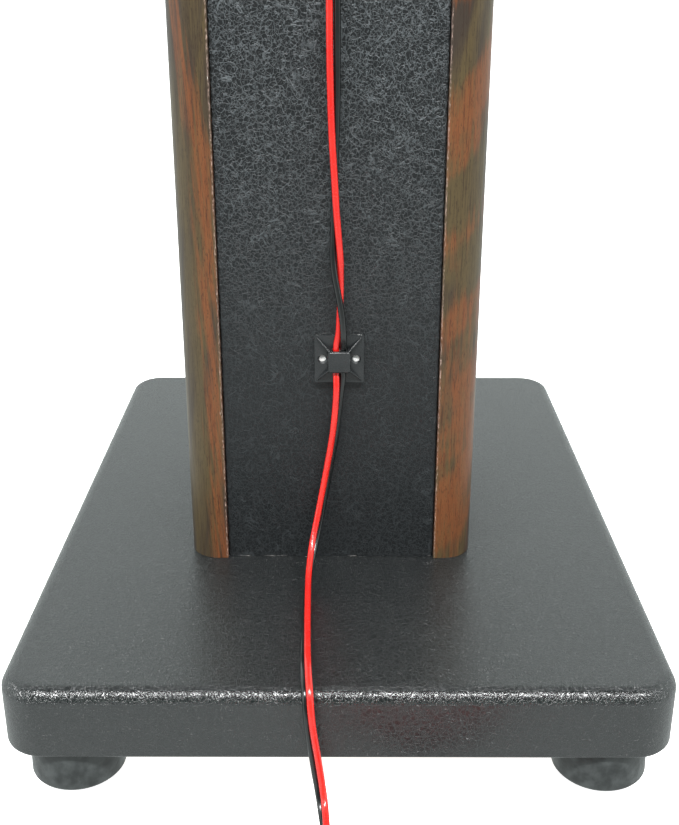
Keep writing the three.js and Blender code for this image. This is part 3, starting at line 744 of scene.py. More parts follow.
# the lighter clouds on the feet are painted reflection: a mottled sheen of the pale floor on the domes
RUBBER = Moulded(
    "foot_rubber",
    "foot_rubber",
    rgb(0.010, 0.012, 0.012),
    rgb(0.042, 0.047, 0.047),
    (0.30, 0.46),
    dents=0.5 * MM,
    cloud=6 * MM,
)
PAD_RUBBER = Moulded(
    "pad_rubber", "pad_rubber", rgb(0.012, 0.012, 0.013), rgb(0.022, 0.022, 0.023), (0.6, 0.8)
)
NYLON = Moulded(
    "black_nylon",
    "mount_nylon",
    rgb(0.012, 0.014, 0.015),
    rgb(0.020, 0.022, 0.023),
    (0.22, 0.32),
    texture=0.3 * MM,
)
# what both conductors' insulation has in common
SLEEK = {"texture": 0.8 * MM, "depth": 0.008 * MM, "coat": 0.2}
RED_PVC = Moulded(
    "red_pvc", "lead_red_pvc", rgb(0.70, 0.020, 0.013), rgb(0.58, 0.012, 0.009), (0.20, 0.28), **SLEEK
)
BLACK_PVC = Moulded(
    "black_pvc", "lead_black_pvc", rgb(0.004, 0.005, 0.005), rgb(0.007, 0.008, 0.008), (0.16, 0.24), **SLEEK
)
COPPER = Metal("copper_strand", "copper_strand", rgb(0.78, 0.36, 0.20), rgb(0.60, 0.25, 0.13), (0.25, 0.4))
BLACK_STEEL = Metal(
    "black_oxide_steel", "black_steel", rgb(0.030, 0.030, 0.032), rgb(0.055, 0.055, 0.058), (0.28, 0.45)
)
ZINC = Metal("zinc_plated_steel", "zinc_steel", rgb(0.62, 0.64, 0.66), rgb(0.50, 0.51, 0.52), (0.22, 0.4))
BRASS = Metal("insert_brass", "insert_brass", rgb(0.62, 0.44, 0.17), rgb(0.48, 0.32, 0.11), (0.25, 0.4))


class Paint:
    """Keeps one built material for each finish and dresses the pieces."""

    made: dict[str, Material] = {}

    @classmethod
    def of(cls, finish: Finish) -> Material:
        """The finish's material, built on first use."""
        if finish.name not in cls.made:
            cls.made[finish.name] = finish.make()
        return cls.made[finish.name]

    @classmethod
    def coat(cls, piece: Piece, *finishes: Finish) -> None:
        """Gives a new piece its materials, in slot order."""
        piece.data.materials.clear()
        for finish in finishes:
            piece.data.materials.append(cls.of(finish))

    @classmethod
    def recoat_node(cls, node: str, finish: Finish) -> None:
        """Gives a CAD node that stays in view its material."""
        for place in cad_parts[node].material_slots:
            place.material = cls.of(finish)


def install(piece: Piece, finish: Finish, *nodes: str) -> None:
    """Fixes a finished piece to the stand in place of its CAD nodes.

    Args:
        piece: The finished piece.
        finish: Its main finish; not used.
        nodes: The CAD nodes that it stands for.
    """
    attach(piece, BODY)
    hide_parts(*nodes)
    LOG.info("%s stands for %s", piece.name, ", ".join(nodes))


# ---------------------------------------------------------------- the lead


@dataclass
class SpeakerLead:
    """The red and black lead: its run down the column and its spare length, coiled on the floor."""

    diameter: float = 3.1 * MM
    coil_centre: tuple[float, float] = (0.039, -0.270)
    coil_radius: float = 0.042
    coil_pitch: float = 3.7 * MM
    turns_per_layer: int = 4
    layer_rise: float = 7.1 * MM
    low_height: float = 2.8 * MM
    pair_spacing: float = 3.45 * MM
    stub: float = 4 * MM
    steps_per_turn: int = 48
    steps_per_point: int = 8
    # half a turn takes the coil up from its lower layer to its upper one
    climb_turns: float = 0.5
    tip_length: float = 9 * MM
    tip_steps: int = 9
    strand_radius: float = 0.28 * MM
    strand_edge: float = 0.08 * MM
    # the outer strands' distance from the middle one in strand radii, and their twist per step in degrees
    strand_spread: float = 2.15
    strand_turn: float = 20.0
    # x, y, z, twist in degrees, and a spacing where the pair is apart; at twist 0 black is right of red
    route: tuple[tuple[float, ...], ...] = (
        (0.0372, -0.0811, 0.508, 0, 0.011),
        (0.035, -0.0811, 0.53, 0, 0.006),
        (0.034, -0.0811, 0.586, 0),
        (0.0293, -0.0811, 0.598, 0),
        (0.017, -0.0811, 0.603, 0),
        (0.0047, -0.0811, 0.598, 0),
        (0.0, -0.0811, 0.586, 0),
        (0.0, -0.0811, 0.552, 0),
        (-0.0012, -0.0811, 0.45, 0),
        (-0.0025, -0.0811, 0.337, 4),
        (-0.0024, -0.0811, 0.299, 25),
        (-0.0023, -0.0811, 0.275, 58),
        (-0.0021, -0.0811, 0.257, 88),
        (-0.0018, -0.0811, 0.241, 110),
        (-0.0015, -0.0811, 0.228, 142),
        (-0.0012, -0.0811, 0.219, 180),
        (-0.0007, -0.0811, 0.211, 218),
        (0.0, -0.0813, 0.203, 250),
        (0.0006, -0.0818, 0.195, 278),
        (0.0009, -0.0822, 0.1875, 300),
        (0.0008, -0.0822, 0.1812, 316),
        (0.0004, -0.0816, 0.1775, 338),
        (0.0002, -0.0811, 0.1742, 353),
        (0.0001, -0.0811, 0.1632, 367),
        (0.0001, -0.0817, 0.1596, 384),
        (-0.0001, -0.0822, 0.1554, 402),
        (-0.0009, -0.0822, 0.145, 414),
        (-0.0026, -0.0822, 0.129, 416),
        (-0.0092, -0.0844, 0.091, 416),
        (-0.0129, -0.0934, 0.0745, 420),
        (-0.015, -0.107, 0.0652, 440),
        (-0.0154, -0.126, 0.062, 452),
        (-0.0149, -0.168, 0.062, 470),
        (-0.0142, -0.186, 0.0633, 474),
        (-0.0133, -0.1972, 0.0594, 476),
        (-0.0124, -0.2022, 0.049, 480),
        (-0.0097, -0.2036, 0.028, 486),
        (-0.0069, -0.21, 0.0115, 480),
        (-0.0046, -0.231, 0.0046, 456),
        (-0.003, -0.2657, 0.00453, 450),
    )

    @staticmethod
    def curve_through(points: Sequence[Vector], steps: int) -> list[Vector]:
        """A centripetal Catmull-Rom curve through the points.

        Args:
            points: The points that it passes through.
            steps: How many steps it takes from each point to the next.

        Returns:
            The curve's points, the last one included.
        """
        first, last = 2 * points[0] - points[1], 2 * points[-1] - points[-2]
        ends = [first, *points, last]
        curve = []
        for a, b, c, d in zip(ends, ends[1:], ends[2:], ends[3:]):
            before, across, after = ((q - p).length ** 0.5 for p, q in ((a, b), (b, c), (c, d)))
            leave = ((b - a) / before - (c - a) / (before + across) + (c - b) / across) * across
            arrive = ((c - b) / across - (d - b) / (across + after) + (d - c) / after) * across
            for step in range(steps):
                t = step / steps
                bow = (2 * (b - c) + leave + arrive) * t**3 + (3 * (c - b) - 2 * leave - arrive) * t**2
                curve.append(b + leave * t + bow)
        return [*curve, points[-1]]

    def run_of(self, side: int) -> list[Vector]:
        """The line of one conductor down the column.

        Args:
            side: -1 for the red conductor and 1 for the black one.

        Returns:
            The line's points.
        """
        centres = [Vector(row[:3]) for row in self.route]
        fine = 64
        dense = self.curve_through(centres, fine)
        across = Vector((-1, 0, 0))
        points = []
        for index, (centre, row) in enumerate(zip(centres, self.route)):
            here = index * fine
            tangent = (dense[min(here + 1, len(dense) - 1)] - dense[max(here - 1, 0)]).normalized()
            across = (across - tangent * across.dot(tangent)).normalized()
            behind = across.cross(tangent)
            twist = math.radians(row[3])
            spacing = row[4] if len(row) > 4 else self.pair_spacing
            offset = across * math.cos(twist) + behind * math.sin(twist)
            points.append(centre + offset * side * spacing / 2)
        return self.curve_through(points, self.steps_per_point)

    def coil_at(self, height: float) -> list[Vector]:
        """The line of one conductor's coil: in on the lower layer, up in half a turn, and out again.

        Args:
            height: The lower layer's height.

        Returns:
            The line's points.
        """
        centre = Vector((*self.coil_centre, 0))
        turns = 2 * self.turns_per_layer + self.climb_turns
        points = [centre + Vector((-self.coil_radius, self.stub, height))]
        for step in range(int(turns * self.steps_per_turn) + 1):
            turn = step / self.steps_per_turn
            radius = self.coil_radius - self.coil_pitch * min(turn, turns - turn)
            climb = min(max((turn - self.turns_per_layer) / self.climb_turns, 0), 1)
            rise = height + self.layer_rise * (1 - math.cos(math.pi * climb)) / 2
            angle = math.pi + math.tau * turn
            points.append(centre + Vector((radius * math.cos(angle), radius * math.sin(angle), rise)))
        return [*points, points[-1] + Vector((0, self.stub, 0))]

    def strand(self, name: str, x: float, y: float) -> Piece:
        """Models one upright strand that winds round the origin.

        Args:
            name: The strand's name.
            x: Where it starts, along X.
            y: Where it starts, along Y.

        Returns:
            The strand.
        """
        round_end = {"vertices": 8, "radius": self.strand_radius, "fill_type": "NGON"}
        bpy.ops.mesh.primitive_circle_add(**round_end, location=(x, y, 0))
        strand = adopt(name)
        turn = {"value": math.radians(self.strand_turn), "orient_axis": "Z", "center_override": (0, 0, 0)}
        lift = {"value": (0, 0, self.tip_length / self.tip_steps)}
        with edit(strand):
            bpy.ops.mesh.select_all(action="SELECT")
            for _ in range(self.tip_steps):
                bpy.ops.mesh.extrude_region_move(TRANSFORM_OT_translate=lift)
                bpy.ops.transform.rotate(**turn)
            bpy.ops.mesh.bevel(offset=self.strand_edge, segments=2, affect="EDGES")
            bpy.ops.mesh.select_all(action="SELECT")
            bpy.ops.mesh.normals_make_consistent(inside=False)
        return strand

    def tip(self, node: str, end: Vector, before: Vector) -> Piece:
        """Models a conductor's bare end: six strands twisted round a seventh.

        Args:
            node: The CAD node that the tip stands for.
            end: The conductor's last point.
            before: The point before it.

        Returns:
            The installed tip.
        """
        name = f"{node}_strands"
        away = self.strand_spread * self.strand_radius
        angles = [math.tau * index / 6 for index in range(6)]
        starts = [(away * math.cos(angle), away * math.sin(angle)) for angle in angles] + [(0, 0)]
        strands = [self.strand(f"{name}_strand_{index}", *start) for index, start in enumerate(starts)]
        tip = join(name, strands)
        smooth(tip, 50)
        turn = Vector((0, 0, 1)).rotation_difference((end - before).normalized()).to_matrix().to_4x4()
        tip.data.transform(Matrix.Translation(end) @ turn)
        Paint.coat(tip, COPPER)
        install(tip, COPPER, node)
        return tip

    def conductor(self, colour: str, side: int, height: float, finish: Moulded) -> None:
        """Lays one conductor from its bare top end to its bare end on the floor.

        Args:
            colour: The word in its nodes' names.
            side: -1 for red, 1 for black.
            height: The height of its lower coil layer.
            finish: Its insulation.
        """
        points = self.run_of(side) + self.coil_at(height)
        curve = bpy.data.curves.new(f"conductor_{colour}", "CURVE")
        curve.dimensions = "3D"
        curve.bevel_depth = self.diameter / 2
        curve.bevel_resolution = 4
        curve.use_fill_caps = True
        spline = curve.splines.new("POLY")
        spline.points.add(len(points) - 1)
        for slot, point in zip(spline.points, points):
            slot.co = (*point, 1)
        spline.use_smooth = True
        curve.materials.append(Paint.of(finish))
        cord = bpy.data.objects.new(f"conductor_{colour}", curve)
        bpy.context.scene.collection.objects.link(cord)
        tips = [
            self.tip(f"lead_tip_{colour}_top", points[0], points[1]),
            self.tip(f"lead_tip_{colour}_floor", points[-1], points[-2]),
        ]
        install(cord, finish, f"lead_{colour}", f"lead_coil_{colour}")

    def tie(self) -> None:
        """Models the band that holds the coil: a closed loop."""
        low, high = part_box("coil_tie")
        wall = 0.8 * MM
        inset = Vector((0, wall, wall))
        band = block("coil_band", low + inset, high - inset)
        bevel(band, lambda edge: runs_along(edge, 0), 1.6 * MM, 6)
        with edit(band):
            pick(band, Part.FACE, lambda face: abs(face.normal.x) > 0.9)
            bpy.ops.mesh.delete(type="ONLY_FACE")
        modify(band, "SOLIDIFY", thickness=wall, offset=1.0, use_even_offset=True)
        smooth(band)
        Paint.coat(band, HookAndLoop())
        install(band, HookAndLoop(), "coil_tie")

    def build(self) -> None:
        """Builds the lead."""
        self.conductor("red", -1, self.low_height + self.pair_spacing, RED_PVC)
        self.conductor("black", 1, self.low_height, BLACK_PVC)
        self.tie()


# ---------------------------------------------------------------- boards and column


@dataclass
class WrappedBoard:
    """A board in vinyl, with round corners and edges, its vinyl turned under round a bare underside."""

    node: str
    corner: float
    top_edge: float
    under_edge: float = 1.6 * MM
    turn_under: float = 14 * MM
    vinyl_thickness: float = 0.4 * MM
    corner_steps: int = 20
    edge_steps: int = 12

    def build(self, cutters: Sequence[Piece]) -> None:
        """Models the board, cuts its holes and installs it.

        Args:
            cutters: The solids to take away from it.
        """
        low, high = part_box(self.node)
        board = block(f"{self.node}_wrapped", low, high)
        Paint.coat(board, self.vinyl(high.z), Fibreboard())
        bevel(board, upright, self.corner, self.corner_steps)
        bevel(board, level(high.z), self.top_edge, self.edge_steps)
        bevel(board, level(low.z), self.under_edge, 4)
        with edit(board):
            pick(board, Part.FACE, lambda face: face.normal.z < -0.999)
            bpy.ops.mesh.inset(thickness=self.turn_under, depth=0)
            lift = {"value": (0, 0, self.vinyl_thickness)}
            bpy.ops.mesh.extrude_region_move(TRANSFORM_OT_translate=lift)
            board.active_material_index = 1
            bpy.ops.object.material_slot_assign()
        for cutter in cutters:
            Paint.coat(cutter, Fibreboard())
            boolean(board, cutter, "DIFFERENCE")
        smooth(board)
        install(board, self.vinyl(high.z), self.node)

    def vinyl(self, top: float) -> Vinyl:
        """The board's own vinyl, gathered where it is drawn over the rounded upper edge."""
        return Vinyl(name=f"{self.node}_vinyl", gathers=(top - self.top_edge, top))


@dataclass
class Boards:
    """The base board and the top board with their bolt holes."""

    bolt_clear: float = 3.3 * MM
    base_bore: float = 8.6 * MM
    base_bore_depth: float = 11 * MM
    top_bore: float = 5.6 * MM
    top_bore_depth: float = 8 * MM
    pilot: float = 2.4 * MM
    pilot_depth: float = 15.3 * MM
    spare: float = 2 * MM

    def stepped(self, lower: float, step: float, upper: float, thickness: float) -> Profile:
        """The profile of a bore that changes its radius at a height and passes through a board."""
        return ((lower, -self.spare), (lower, step), (upper, step), (upper, thickness + self.spare))

    def build(self) -> None:
        """Builds both boards."""
        bolts = [middle(f"base_bolt_{place}") for place in PLACES]
        feet = [middle(f"foot_{place}") for place in PLACES]
        low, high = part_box("base_board")
        bore = self.stepped(self.base_bore, self.base_bore_depth, self.bolt_clear, high.z - low.z)
        pilot = ((self.pilot, -self.spare), (self.pilot, self.pilot_depth))
        cutters = [turned("base_bolt_cutter", (x, y, low.z), bore) for x, y, _ in bolts]
        cutters += [turned("pilot_cutter", (x, y, low.z), pilot, 24) for x, y, _ in feet]
        WrappedBoard("base_board", corner=19.5 * MM, top_edge=7 * MM).build(cutters)

        low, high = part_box("top_board")
        thickness = high.z - low.z
        bore = self.stepped(self.bolt_clear, thickness - self.top_bore_depth, self.top_bore, thickness)
        cutters = [turned("top_bolt_cutter", (x, y, low.z), bore) for x, y, _ in bolts]
        WrappedBoard("top_board", corner=16 * MM, top_edge=6 * MM).build(cutters)


@dataclass
class Column:
    """The boxed column: two vinyl panels between two side rails with rounded outer edges."""

    rail_round: float = 14.5 * MM
    rail_steps: int = 24
    rail_arris: float = 0.35 * MM
    panel_edge: float = 1 * MM

    def panel(self, node: str) -> None:
        """Models one vinyl panel, its wrapped edges slightly round.

        Args:
            node: The CAD node that it stands for.
        """
        low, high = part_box(node)
        panel = block(f"{node}_wrapped", low, high)
        bevel(panel, upright, self.panel_edge, 6)
        smooth(panel)
        finish = Vinyl(
            name="panel_vinyl",
            valley=rgb(0.0050, 0.0062, 0.0070),
            # a strong painted glint on the crests, fading downwards as painted light from above
            crest=rgb(0.100, 0.114, 0.121),
            grain=3.0 * MM,
            grain_depth=0.24 * MM,
            crease=17 * MM,
            crease_depth=0.30 * MM,
            roughness=(0.36, 0.46),
            refraction=1.48,
            bolder_and_lit=(0.14, 0.37, 0.2),
            cut_edge=low.z,
        )
        Paint.coat(panel, finish)
        install(panel, finish, node)

    def rail(self, node: str) -> None:
        """Models one side rail.

        Args:
            node: The CAD node that it stands for.
        """
        low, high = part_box(node)
        inner, outer = sorted((low.x, high.x), key=abs)
        rail = block(f"{node}_filmed", low, high)
        for edge_x, width, steps in ((inner, self.rail_arris, 3), (outer, self.rail_round, self.rail_steps)):
            on_side = lambda edge: upright(edge) and abs(edge.verts[0].co.x - edge_x) < NEAR
            bevel(rail, on_side, width, steps)
        smooth(rail)
        finish = WoodFilm(f"wood_film_{node.removeprefix('side_rail_')}", -1 if high.x < 0 else 1)
        Paint.coat(rail, finish)
        install(rail, finish, node)

    def build(self) -> None:
        """Builds the column and dresses its end blocks."""
        for node in ("column_panel_rear", "column_panel_front"):
            self.panel(node)
        for node in ("side_rail_left", "side_rail_right"):
            self.rail(node)
        for node in ("column_block_bottom", "column_block_top"):
            Paint.recoat_node(node, Fibreboard())


# ---------------------------------------------------------------- feet, pads and fixings


@dataclass
class Foot:
    """A domed rubber foot with a recess for its washer and its screw."""

    height: float = 24 * MM
    top_radius: float = 19.5 * MM
    widest_radius: float = 21.4 * MM
    widest_height: float = 6 * MM
    dome_power: float = 1.6
    flat_radius: float = 8 * MM
    recess_radius: float = 5.8 * MM
    recess_depth: float = 12 * MM
    chamfer: float = 0.6 * MM
    hole: float = 2.4 * MM
    lip: float = 0.7 * MM
    dome_steps: int = 16
    sides: int = 96

    def profile(self) -> list[tuple[float, float]]:
        """The foot's outline from its recess round the dome to its top and back down the hole."""
        points = [(self.recess_radius, self.recess_depth), (self.recess_radius, self.chamfer)]
        points += [(self.recess_radius + self.chamfer, 0.0), (self.flat_radius, 0.0)]
        for step in range(1, self.dome_steps + 1):
            below = math.cos(math.pi / 2 * step / self.dome_steps)
            bulge = (1 - below**self.dome_power) ** (1 / self.dome_power)
            radius = self.flat_radius + (self.widest_radius - self.flat_radius) * bulge
            points.append((radius, self.widest_height * (1 - below)))
        shoulder = self.height - self.lip
        narrowing, rise = self.widest_radius - self.top_radius, shoulder - self.widest_height
        for share in (0.25, 0.5, 0.75, 1.0):
            points.append((self.widest_radius - narrowing * share**2, self.widest_height + rise * share))
        points += rounded_rim(self.top_radius, self.height, self.lip)
        points += [(self.hole, self.height), (self.hole, self.recess_depth)]
        return [*points, points[0]]

    def build(self) -> None:
        """Models the foot once and copies it to the four corners."""
        first = middle(f"foot_{PLACES[0]}")
        start = (first.x, first.y, 0)
        foot = turned(f"foot_{PLACES[0]}_rubber", start, self.profile(), self.sides, hollow=True)
        smooth(foot)
        Paint.coat(foot, RUBBER)
        for place in PLACES[1:]:
            move = Matrix.Translation(middle(f"foot_{place}") - first)
            install(copy(foot, f"foot_{place}_rubber", move), RUBBER, f"foot_{place}")
        install(foot, RUBBER, f"foot_{PLACES[0]}")


@dataclass(frozen=True)
class Site:
    """Where the first of four like pieces stands, as turning it needs to know."""

    node: str
    start: Vector
    centre: Vector
    length: float
    radius: float

    @classmethod
    def of(cls, stem: str) -> "Site":
        """Reads the box of the CAD node at the first place.

        Args:
            stem: The nodes' name before the place.

        Returns:
            The site.
        """
        node = f"{stem}_{PLACES[0]}"
        low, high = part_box(node)
        centre = middle(node)
        start = Vector((centre.x, centre.y, low.z))
        return cls(node, start, centre, high.z - low.z, (high.x - low.x) / 2)


@dataclass
class Fixings:
    """Bolts, screws, washers and pads, each modelled once and copied."""

    bolt_radius: float = 3 * MM
    bolt_head: float = 5 * MM
    head_height: float = 6 * MM
    head_edge: float = 0.15 * MM
    socket: float = 2.9 * MM
    socket_depth: float = 3 * MM
    chamfer: float = 0.6 * MM
    washer_gap: float = 0.3 * MM
    washer_edge: float = 0.2 * MM
    screw_radius: float = 2.1 * MM
    screw_head: float = 4.4 * MM
    screw_head_height: float = 3 * MM
    screw_point: float = 0.2 * MM
    # the share of the head's height that its dome takes up
    screw_dome: float = 0.55
    # the cross recess: its half length and half width over the head's radius, its depth over the height
    cross: tuple[float, float, float] = (0.5, 0.13, 0.6)
    pad_edge: float = 0.9 * MM
    pad_groove: float = 0.4 * MM
    # over the pad's radius: the groove's start, floor and end, and the ring that the top is filled from
    pad_rings: tuple[float, ...] = (0.72, 0.70, 0.62, 0.60, 0.1)

    def spread(self, master: Piece, finish: Finish, stem: str, ending: str) -> None:
        """Smooths a piece, copies it from its first place to the other three, and installs all four.

        Args:
            master: The piece at the first place.
            finish: Its finish.
            stem: The nodes' name before the place.
            ending: What the pieces' names have after the node's.
        """
        smooth(master)
        Paint.coat(master, finish)
        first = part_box(f"{stem}_{PLACES[0]}")[0]
        for place in PLACES[1:]:
            node = f"{stem}_{place}"
            twin = copy(master, f"{node}_{ending}", Matrix.Translation(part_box(node)[0] - first))
            install(twin, finish, node)
        install(master, finish, f"{stem}_{PLACES[0]}")

    def bolt(self, stem: str, head_up: bool) -> None:
        """Models the hexagon-socket bolts of one board.

        Args:
            stem: The nodes' name before the place.
            head_up: Whether the head is at the top.
        """
        site = Site.of(stem)
        length, edge, rim = site.length, self.chamfer, self.head_edge
        seat = length - self.head_height
        profile = [
            (self.bolt_radius - edge, 0.0),
            (self.bolt_radius, edge),
            (self.bolt_radius, seat),
            (self.bolt_head - rim, seat),
            (self.bolt_head, seat + rim),
            (self.bolt_head, length - edge),
            (self.bolt_head - 0.2 * edge, length - 0.5 * edge),
            (self.bolt_head - 0.9 * edge, length),
        ]
        bolt = turned(f"{site.node}_steel", site.start, profile)
        hexagon = ((self.socket, length - self.socket_depth), (self.socket, length + 1 * MM))
        boolean(bolt, turned("socket_cutter", site.start, hexagon, 6), "DIFFERENCE")
        if not head_up:
            there, back = Matrix.Translation(site.centre), Matrix.Translation(-site.centre)
            bolt.data.transform(there @ Matrix.Rotation(math.pi, 4, "X") @ back)
        self.spread(bolt, BLACK_STEEL, stem, "steel")

    def washer(self, stem: str, bolt_radius: float) -> None:
        """Models one set of washers, their edges slightly round from the press.

        Args:
            stem: The nodes' name before the place.
            bolt_radius: The radius of the bolt or screw that passes through.
        """
        site = Site.of(stem)
        hole, outer, height, soft = bolt_radius + self.washer_gap, site.radius, site.length, self.washer_edge
        profile = [(hole, 0), (outer - soft, 0), (outer, soft), (outer, height - soft)]
        profile += [(outer - soft, height), (hole, height), (hole, 0)]
        self.spread(turned(f"{site.node}_zinc", site.start, profile, hollow=True), ZINC, stem, "zinc")

    def screw(self) -> None:
        """Models the feet's pan-head screws with their cross recess below."""
        site = Site.of("foot_screw")
        head, tall, length = self.screw_head, self.screw_head_height, site.length
        turns = (0.5, 0.8, 1.1, 1.35, 1.57)
        profile = [(head * math.sin(turn), tall * self.screw_dome * (1 - math.cos(turn))) for turn in turns]
        profile += [(head, tall), (self.screw_radius, tall)]
        profile += [(self.screw_radius, length - 2 * self.screw_radius), (self.screw_point, length)]
        screw = turned(f"{site.node}_zinc", site.start, profile, 32)
        arm, blade, depth = self.cross[0] * head, self.cross[1] * head, self.cross[2] * tall
        for half in ((arm, blade), (blade, arm)):
            low, high = site.start - Vector((*half, 1 * MM)), site.start + Vector((*half, depth))
            boolean(screw, block("cross_cutter", low, high), "DIFFERENCE")
        self.spread(screw, ZINC, "foot_screw", "zinc")

    def pad(self) -> None:
        """Models the top board's round pads, each with a groove round its face."""
        site = Site.of("speaker_pad")
        outer, height = site.radius, site.length
        floor = height - self.pad_groove
        profile = [(outer, 0.0), (outer, height - self.pad_edge), *rounded_rim(outer, height, self.pad_edge)]
        heights = (height, floor, floor, height, height)
        profile += [(ring * outer, at) for ring, at in zip(self.pad_rings, heights)]
        pad = turned(f"{site.node}_rubber", site.start, profile, 64)
        self.spread(pad, PAD_RUBBER, "speaker_pad", "rubber")

    def build(self) -> None:
        """Builds the fixings and dresses the inserts that stay CAD nodes."""
        self.bolt("base_bolt", head_up=False)
        self.bolt("top_bolt", head_up=True)
        self.washer("base_washer", self.bolt_radius)
        self.washer("foot_washer", self.screw_radius)
        self.screw()
        self.pad()
        for place in PLACES:
            for stem in ("base_insert", "top_insert"):
                Paint.recoat_node(f"{stem}_{place}", BRASS)


# ---------------------------------------------------------------- tie mounts


@dataclass
class TieMount:
    """An adhesive four-way tie mount on its foam, modelled lying down and copied up to its places."""

    side: float = 24 * MM
    plate: float = 1.2 * MM
    bridge: float = 10.8 * MM
    cap: float = 1.5 * MM
    lead_slot: float = 8.2 * MM
    tie_slot: float = 6.4 * MM
    slot_height: float = 4.4 * MM
    hole: float = 1.65 * MM
    hole_offset: float = 8.2 * MM
    rib: float = 0.9 * MM
    rib_start: float = 6.6 * MM
    rib_end: float = 15.2 * MM
    foam_cut: float = 0.15 * MM
    rib_toe: float = 0.5 * MM
    rib_edge: float = 0.35 * MM
    sink: float = 0.7 * MM
    window: tuple[float, float] = (7.6 * MM, 11.2 * MM)

    def one_rib(self, quarter: int) -> Piece:
        """Models a diagonal rib that falls from the bridge to a corner of the plate."""
        top, half = self.plate + self.slot_height, self.rib / 2
        low, high = (self.rib_start - 2 * MM, -half, self.plate / 2), (self.rib_end, half, top)
        rib = block("mount_rib", low, high)
        turn = {"value": math.radians(45 + 90 * quarter), "orient_axis": "Z", "center_override": (0, 0, 0)}
        with edit(rib):
            pick(rib, Part.VERTEX, lambda v: v.co.x > self.rib_end - NEAR and v.co.z > top - NEAR)
            bpy.ops.transform.translate(value=(0, 0, self.plate + self.rib_toe - top))
            pick(rib, Part.EDGE, self.crest_side)
            bpy.ops.mesh.bevel(offset=self.rib_edge, segments=4, profile=0.5, affect="EDGES")
            bpy.ops.mesh.select_all(action="SELECT")
            bpy.ops.transform.rotate(**turn)
        return rib

    def crest_side(self, edge: Edge) -> bool:
        """Whether an edge runs along one side of a rib's crest."""
        ends = [vertex.co for vertex in edge.verts]
        return min(end.z for end in ends) > self.plate + 0.4 * MM and abs(ends[0].y - ends[1].y) < NEAR

    def model(self) -> Piece:
        """Models the mount lying on the origin, its outer side up.

        Returns:
            The mount.
        """
        half, bridge, slot_top = self.side / 2, self.bridge / 2, self.plate + self.slot_height
        top = slot_top + self.cap
        mount = block("mount_master", (-half, -half, 0), (half, half, self.plate))
        bevel(mount, upright, 0.5 * MM, 3)
        post = block("mount_bridge", (-bridge, -bridge, self.plate / 2), (bridge, bridge, top))
        bevel(post, upright, 1.2 * MM, 5)
        bevel(post, level(top), 0.9 * MM, 3)
        boolean(mount, post, "UNION")
        for quarter in range(4):
            boolean(mount, self.one_rib(quarter), "UNION")
        lead, tie, clear = self.lead_slot / 2, self.tie_slot / 2, self.rib_start - 0.6 * MM
        wide, tall = self.window[0] / 2, self.window[1] / 2
        cuts = [
            ((-lead, -clear, self.plate), (lead, clear, slot_top)),
            ((-clear, -tie, self.plate), (clear, tie, slot_top)),
            ((-wide, -tall, -self.plate), (wide, tall, 2 * self.plate)),
        ]
        for low, high in cuts:
            boolean(mount, block("slot_cutter", low, high), "DIFFERENCE")
        rim = self.hole + self.sink
        profile = [(self.hole, -1 * MM), (self.hole, self.plate - self.sink)]
        profile += [(rim, self.plate + NEAR), (rim, self.plate + 1 * MM)]
        for x in (-self.hole_offset, self.hole_offset):
            boolean(mount, turned("hole_cutter", (x, 0, 0), profile, 32), "DIFFERENCE")
        sharp = {"limit_method": "ANGLE", "angle_limit": math.radians(50)}
        modify(mount, "BEVEL", width=0.12 * MM, segments=2, **sharp)
        smooth(mount, 40)
        Paint.coat(mount, NYLON)
        return mount

    def foam(self) -> Piece:
        """Models the foam pad lying on the origin, its cut edges a little uneven.

        Returns:
            The foam.
        """
        low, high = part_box("tie_mount_foam_lower")
        half, thick = (high.x - low.x) / 2, high.y - low.y
        foam = block("foam_master", (-half, -half, 0), (half, half, thick))
        with edit(foam):
            bpy.ops.mesh.select_all(action="SELECT")
            bpy.ops.mesh.subdivide(number_cuts=15)
        chance = random.Random(7)
        for vertex in foam.data.vertices:
            for axis in (0, 1):
                if abs(abs(vertex.co[axis]) - half) < NEAR:
                    vertex.co[axis] -= math.copysign(chance.random() * self.foam_cut, vertex.co[axis])
        smooth(foam)
        Paint.coat(foam, Foam())
        return foam

    def build(self) -> None:
        """Builds both mounts with their foam."""
        mount, foam = self.model(), self.foam()
        stand_up = Matrix.Rotation(math.pi / 2, 4, "X")
        for place in ("lower", "upper"):
            for master, stem, finish in ((mount, "tie_mount", NYLON), (foam, "tie_mount_foam", Foam())):
                node = f"{stem}_{place}"
                centre = middle(node)
                back = Vector((centre.x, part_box(node)[1].y, centre.z))
                twin = copy(master, f"{node}_moulded", Matrix.Translation(back) @ stand_up)
                install(twin, finish, node)
        bpy.data.objects.remove(mount)
        bpy.data.objects.remove(foam)


# ---------------------------------------------------------------- studio


@dataclass(frozen=True)
class Viewpoint:
    """Where the photograph was taken from, for a frame of 679 x 825 pixels."""

    position: Point = (0.0017, -0.6113, 0.3589)
    pitch_down: float = 22.29
    turn_left: float = 0.17
    focal_pixels: float = 1162.8
    frame_height: float = 825
    sensor: float = 36.0

    def build(self) -> None:
        """Adds the camera and makes it the scene's."""
        camera = bpy.data.cameras.new("camera")
        camera.sensor_width = self.sensor
        camera.lens = self.focal_pixels * self.sensor / self.frame_height
        camera.clip_start, camera.clip_end = 0.01, 60
        viewer = bpy.data.objects.new("camera", camera)
        viewer.location = self.position
        viewer.rotation_euler = (math.radians(90 - self.pitch_down), 0, math.radians(self.turn_left))
        bpy.context.scene.collection.objects.link(viewer)
        bpy.context.scene.camera = viewer


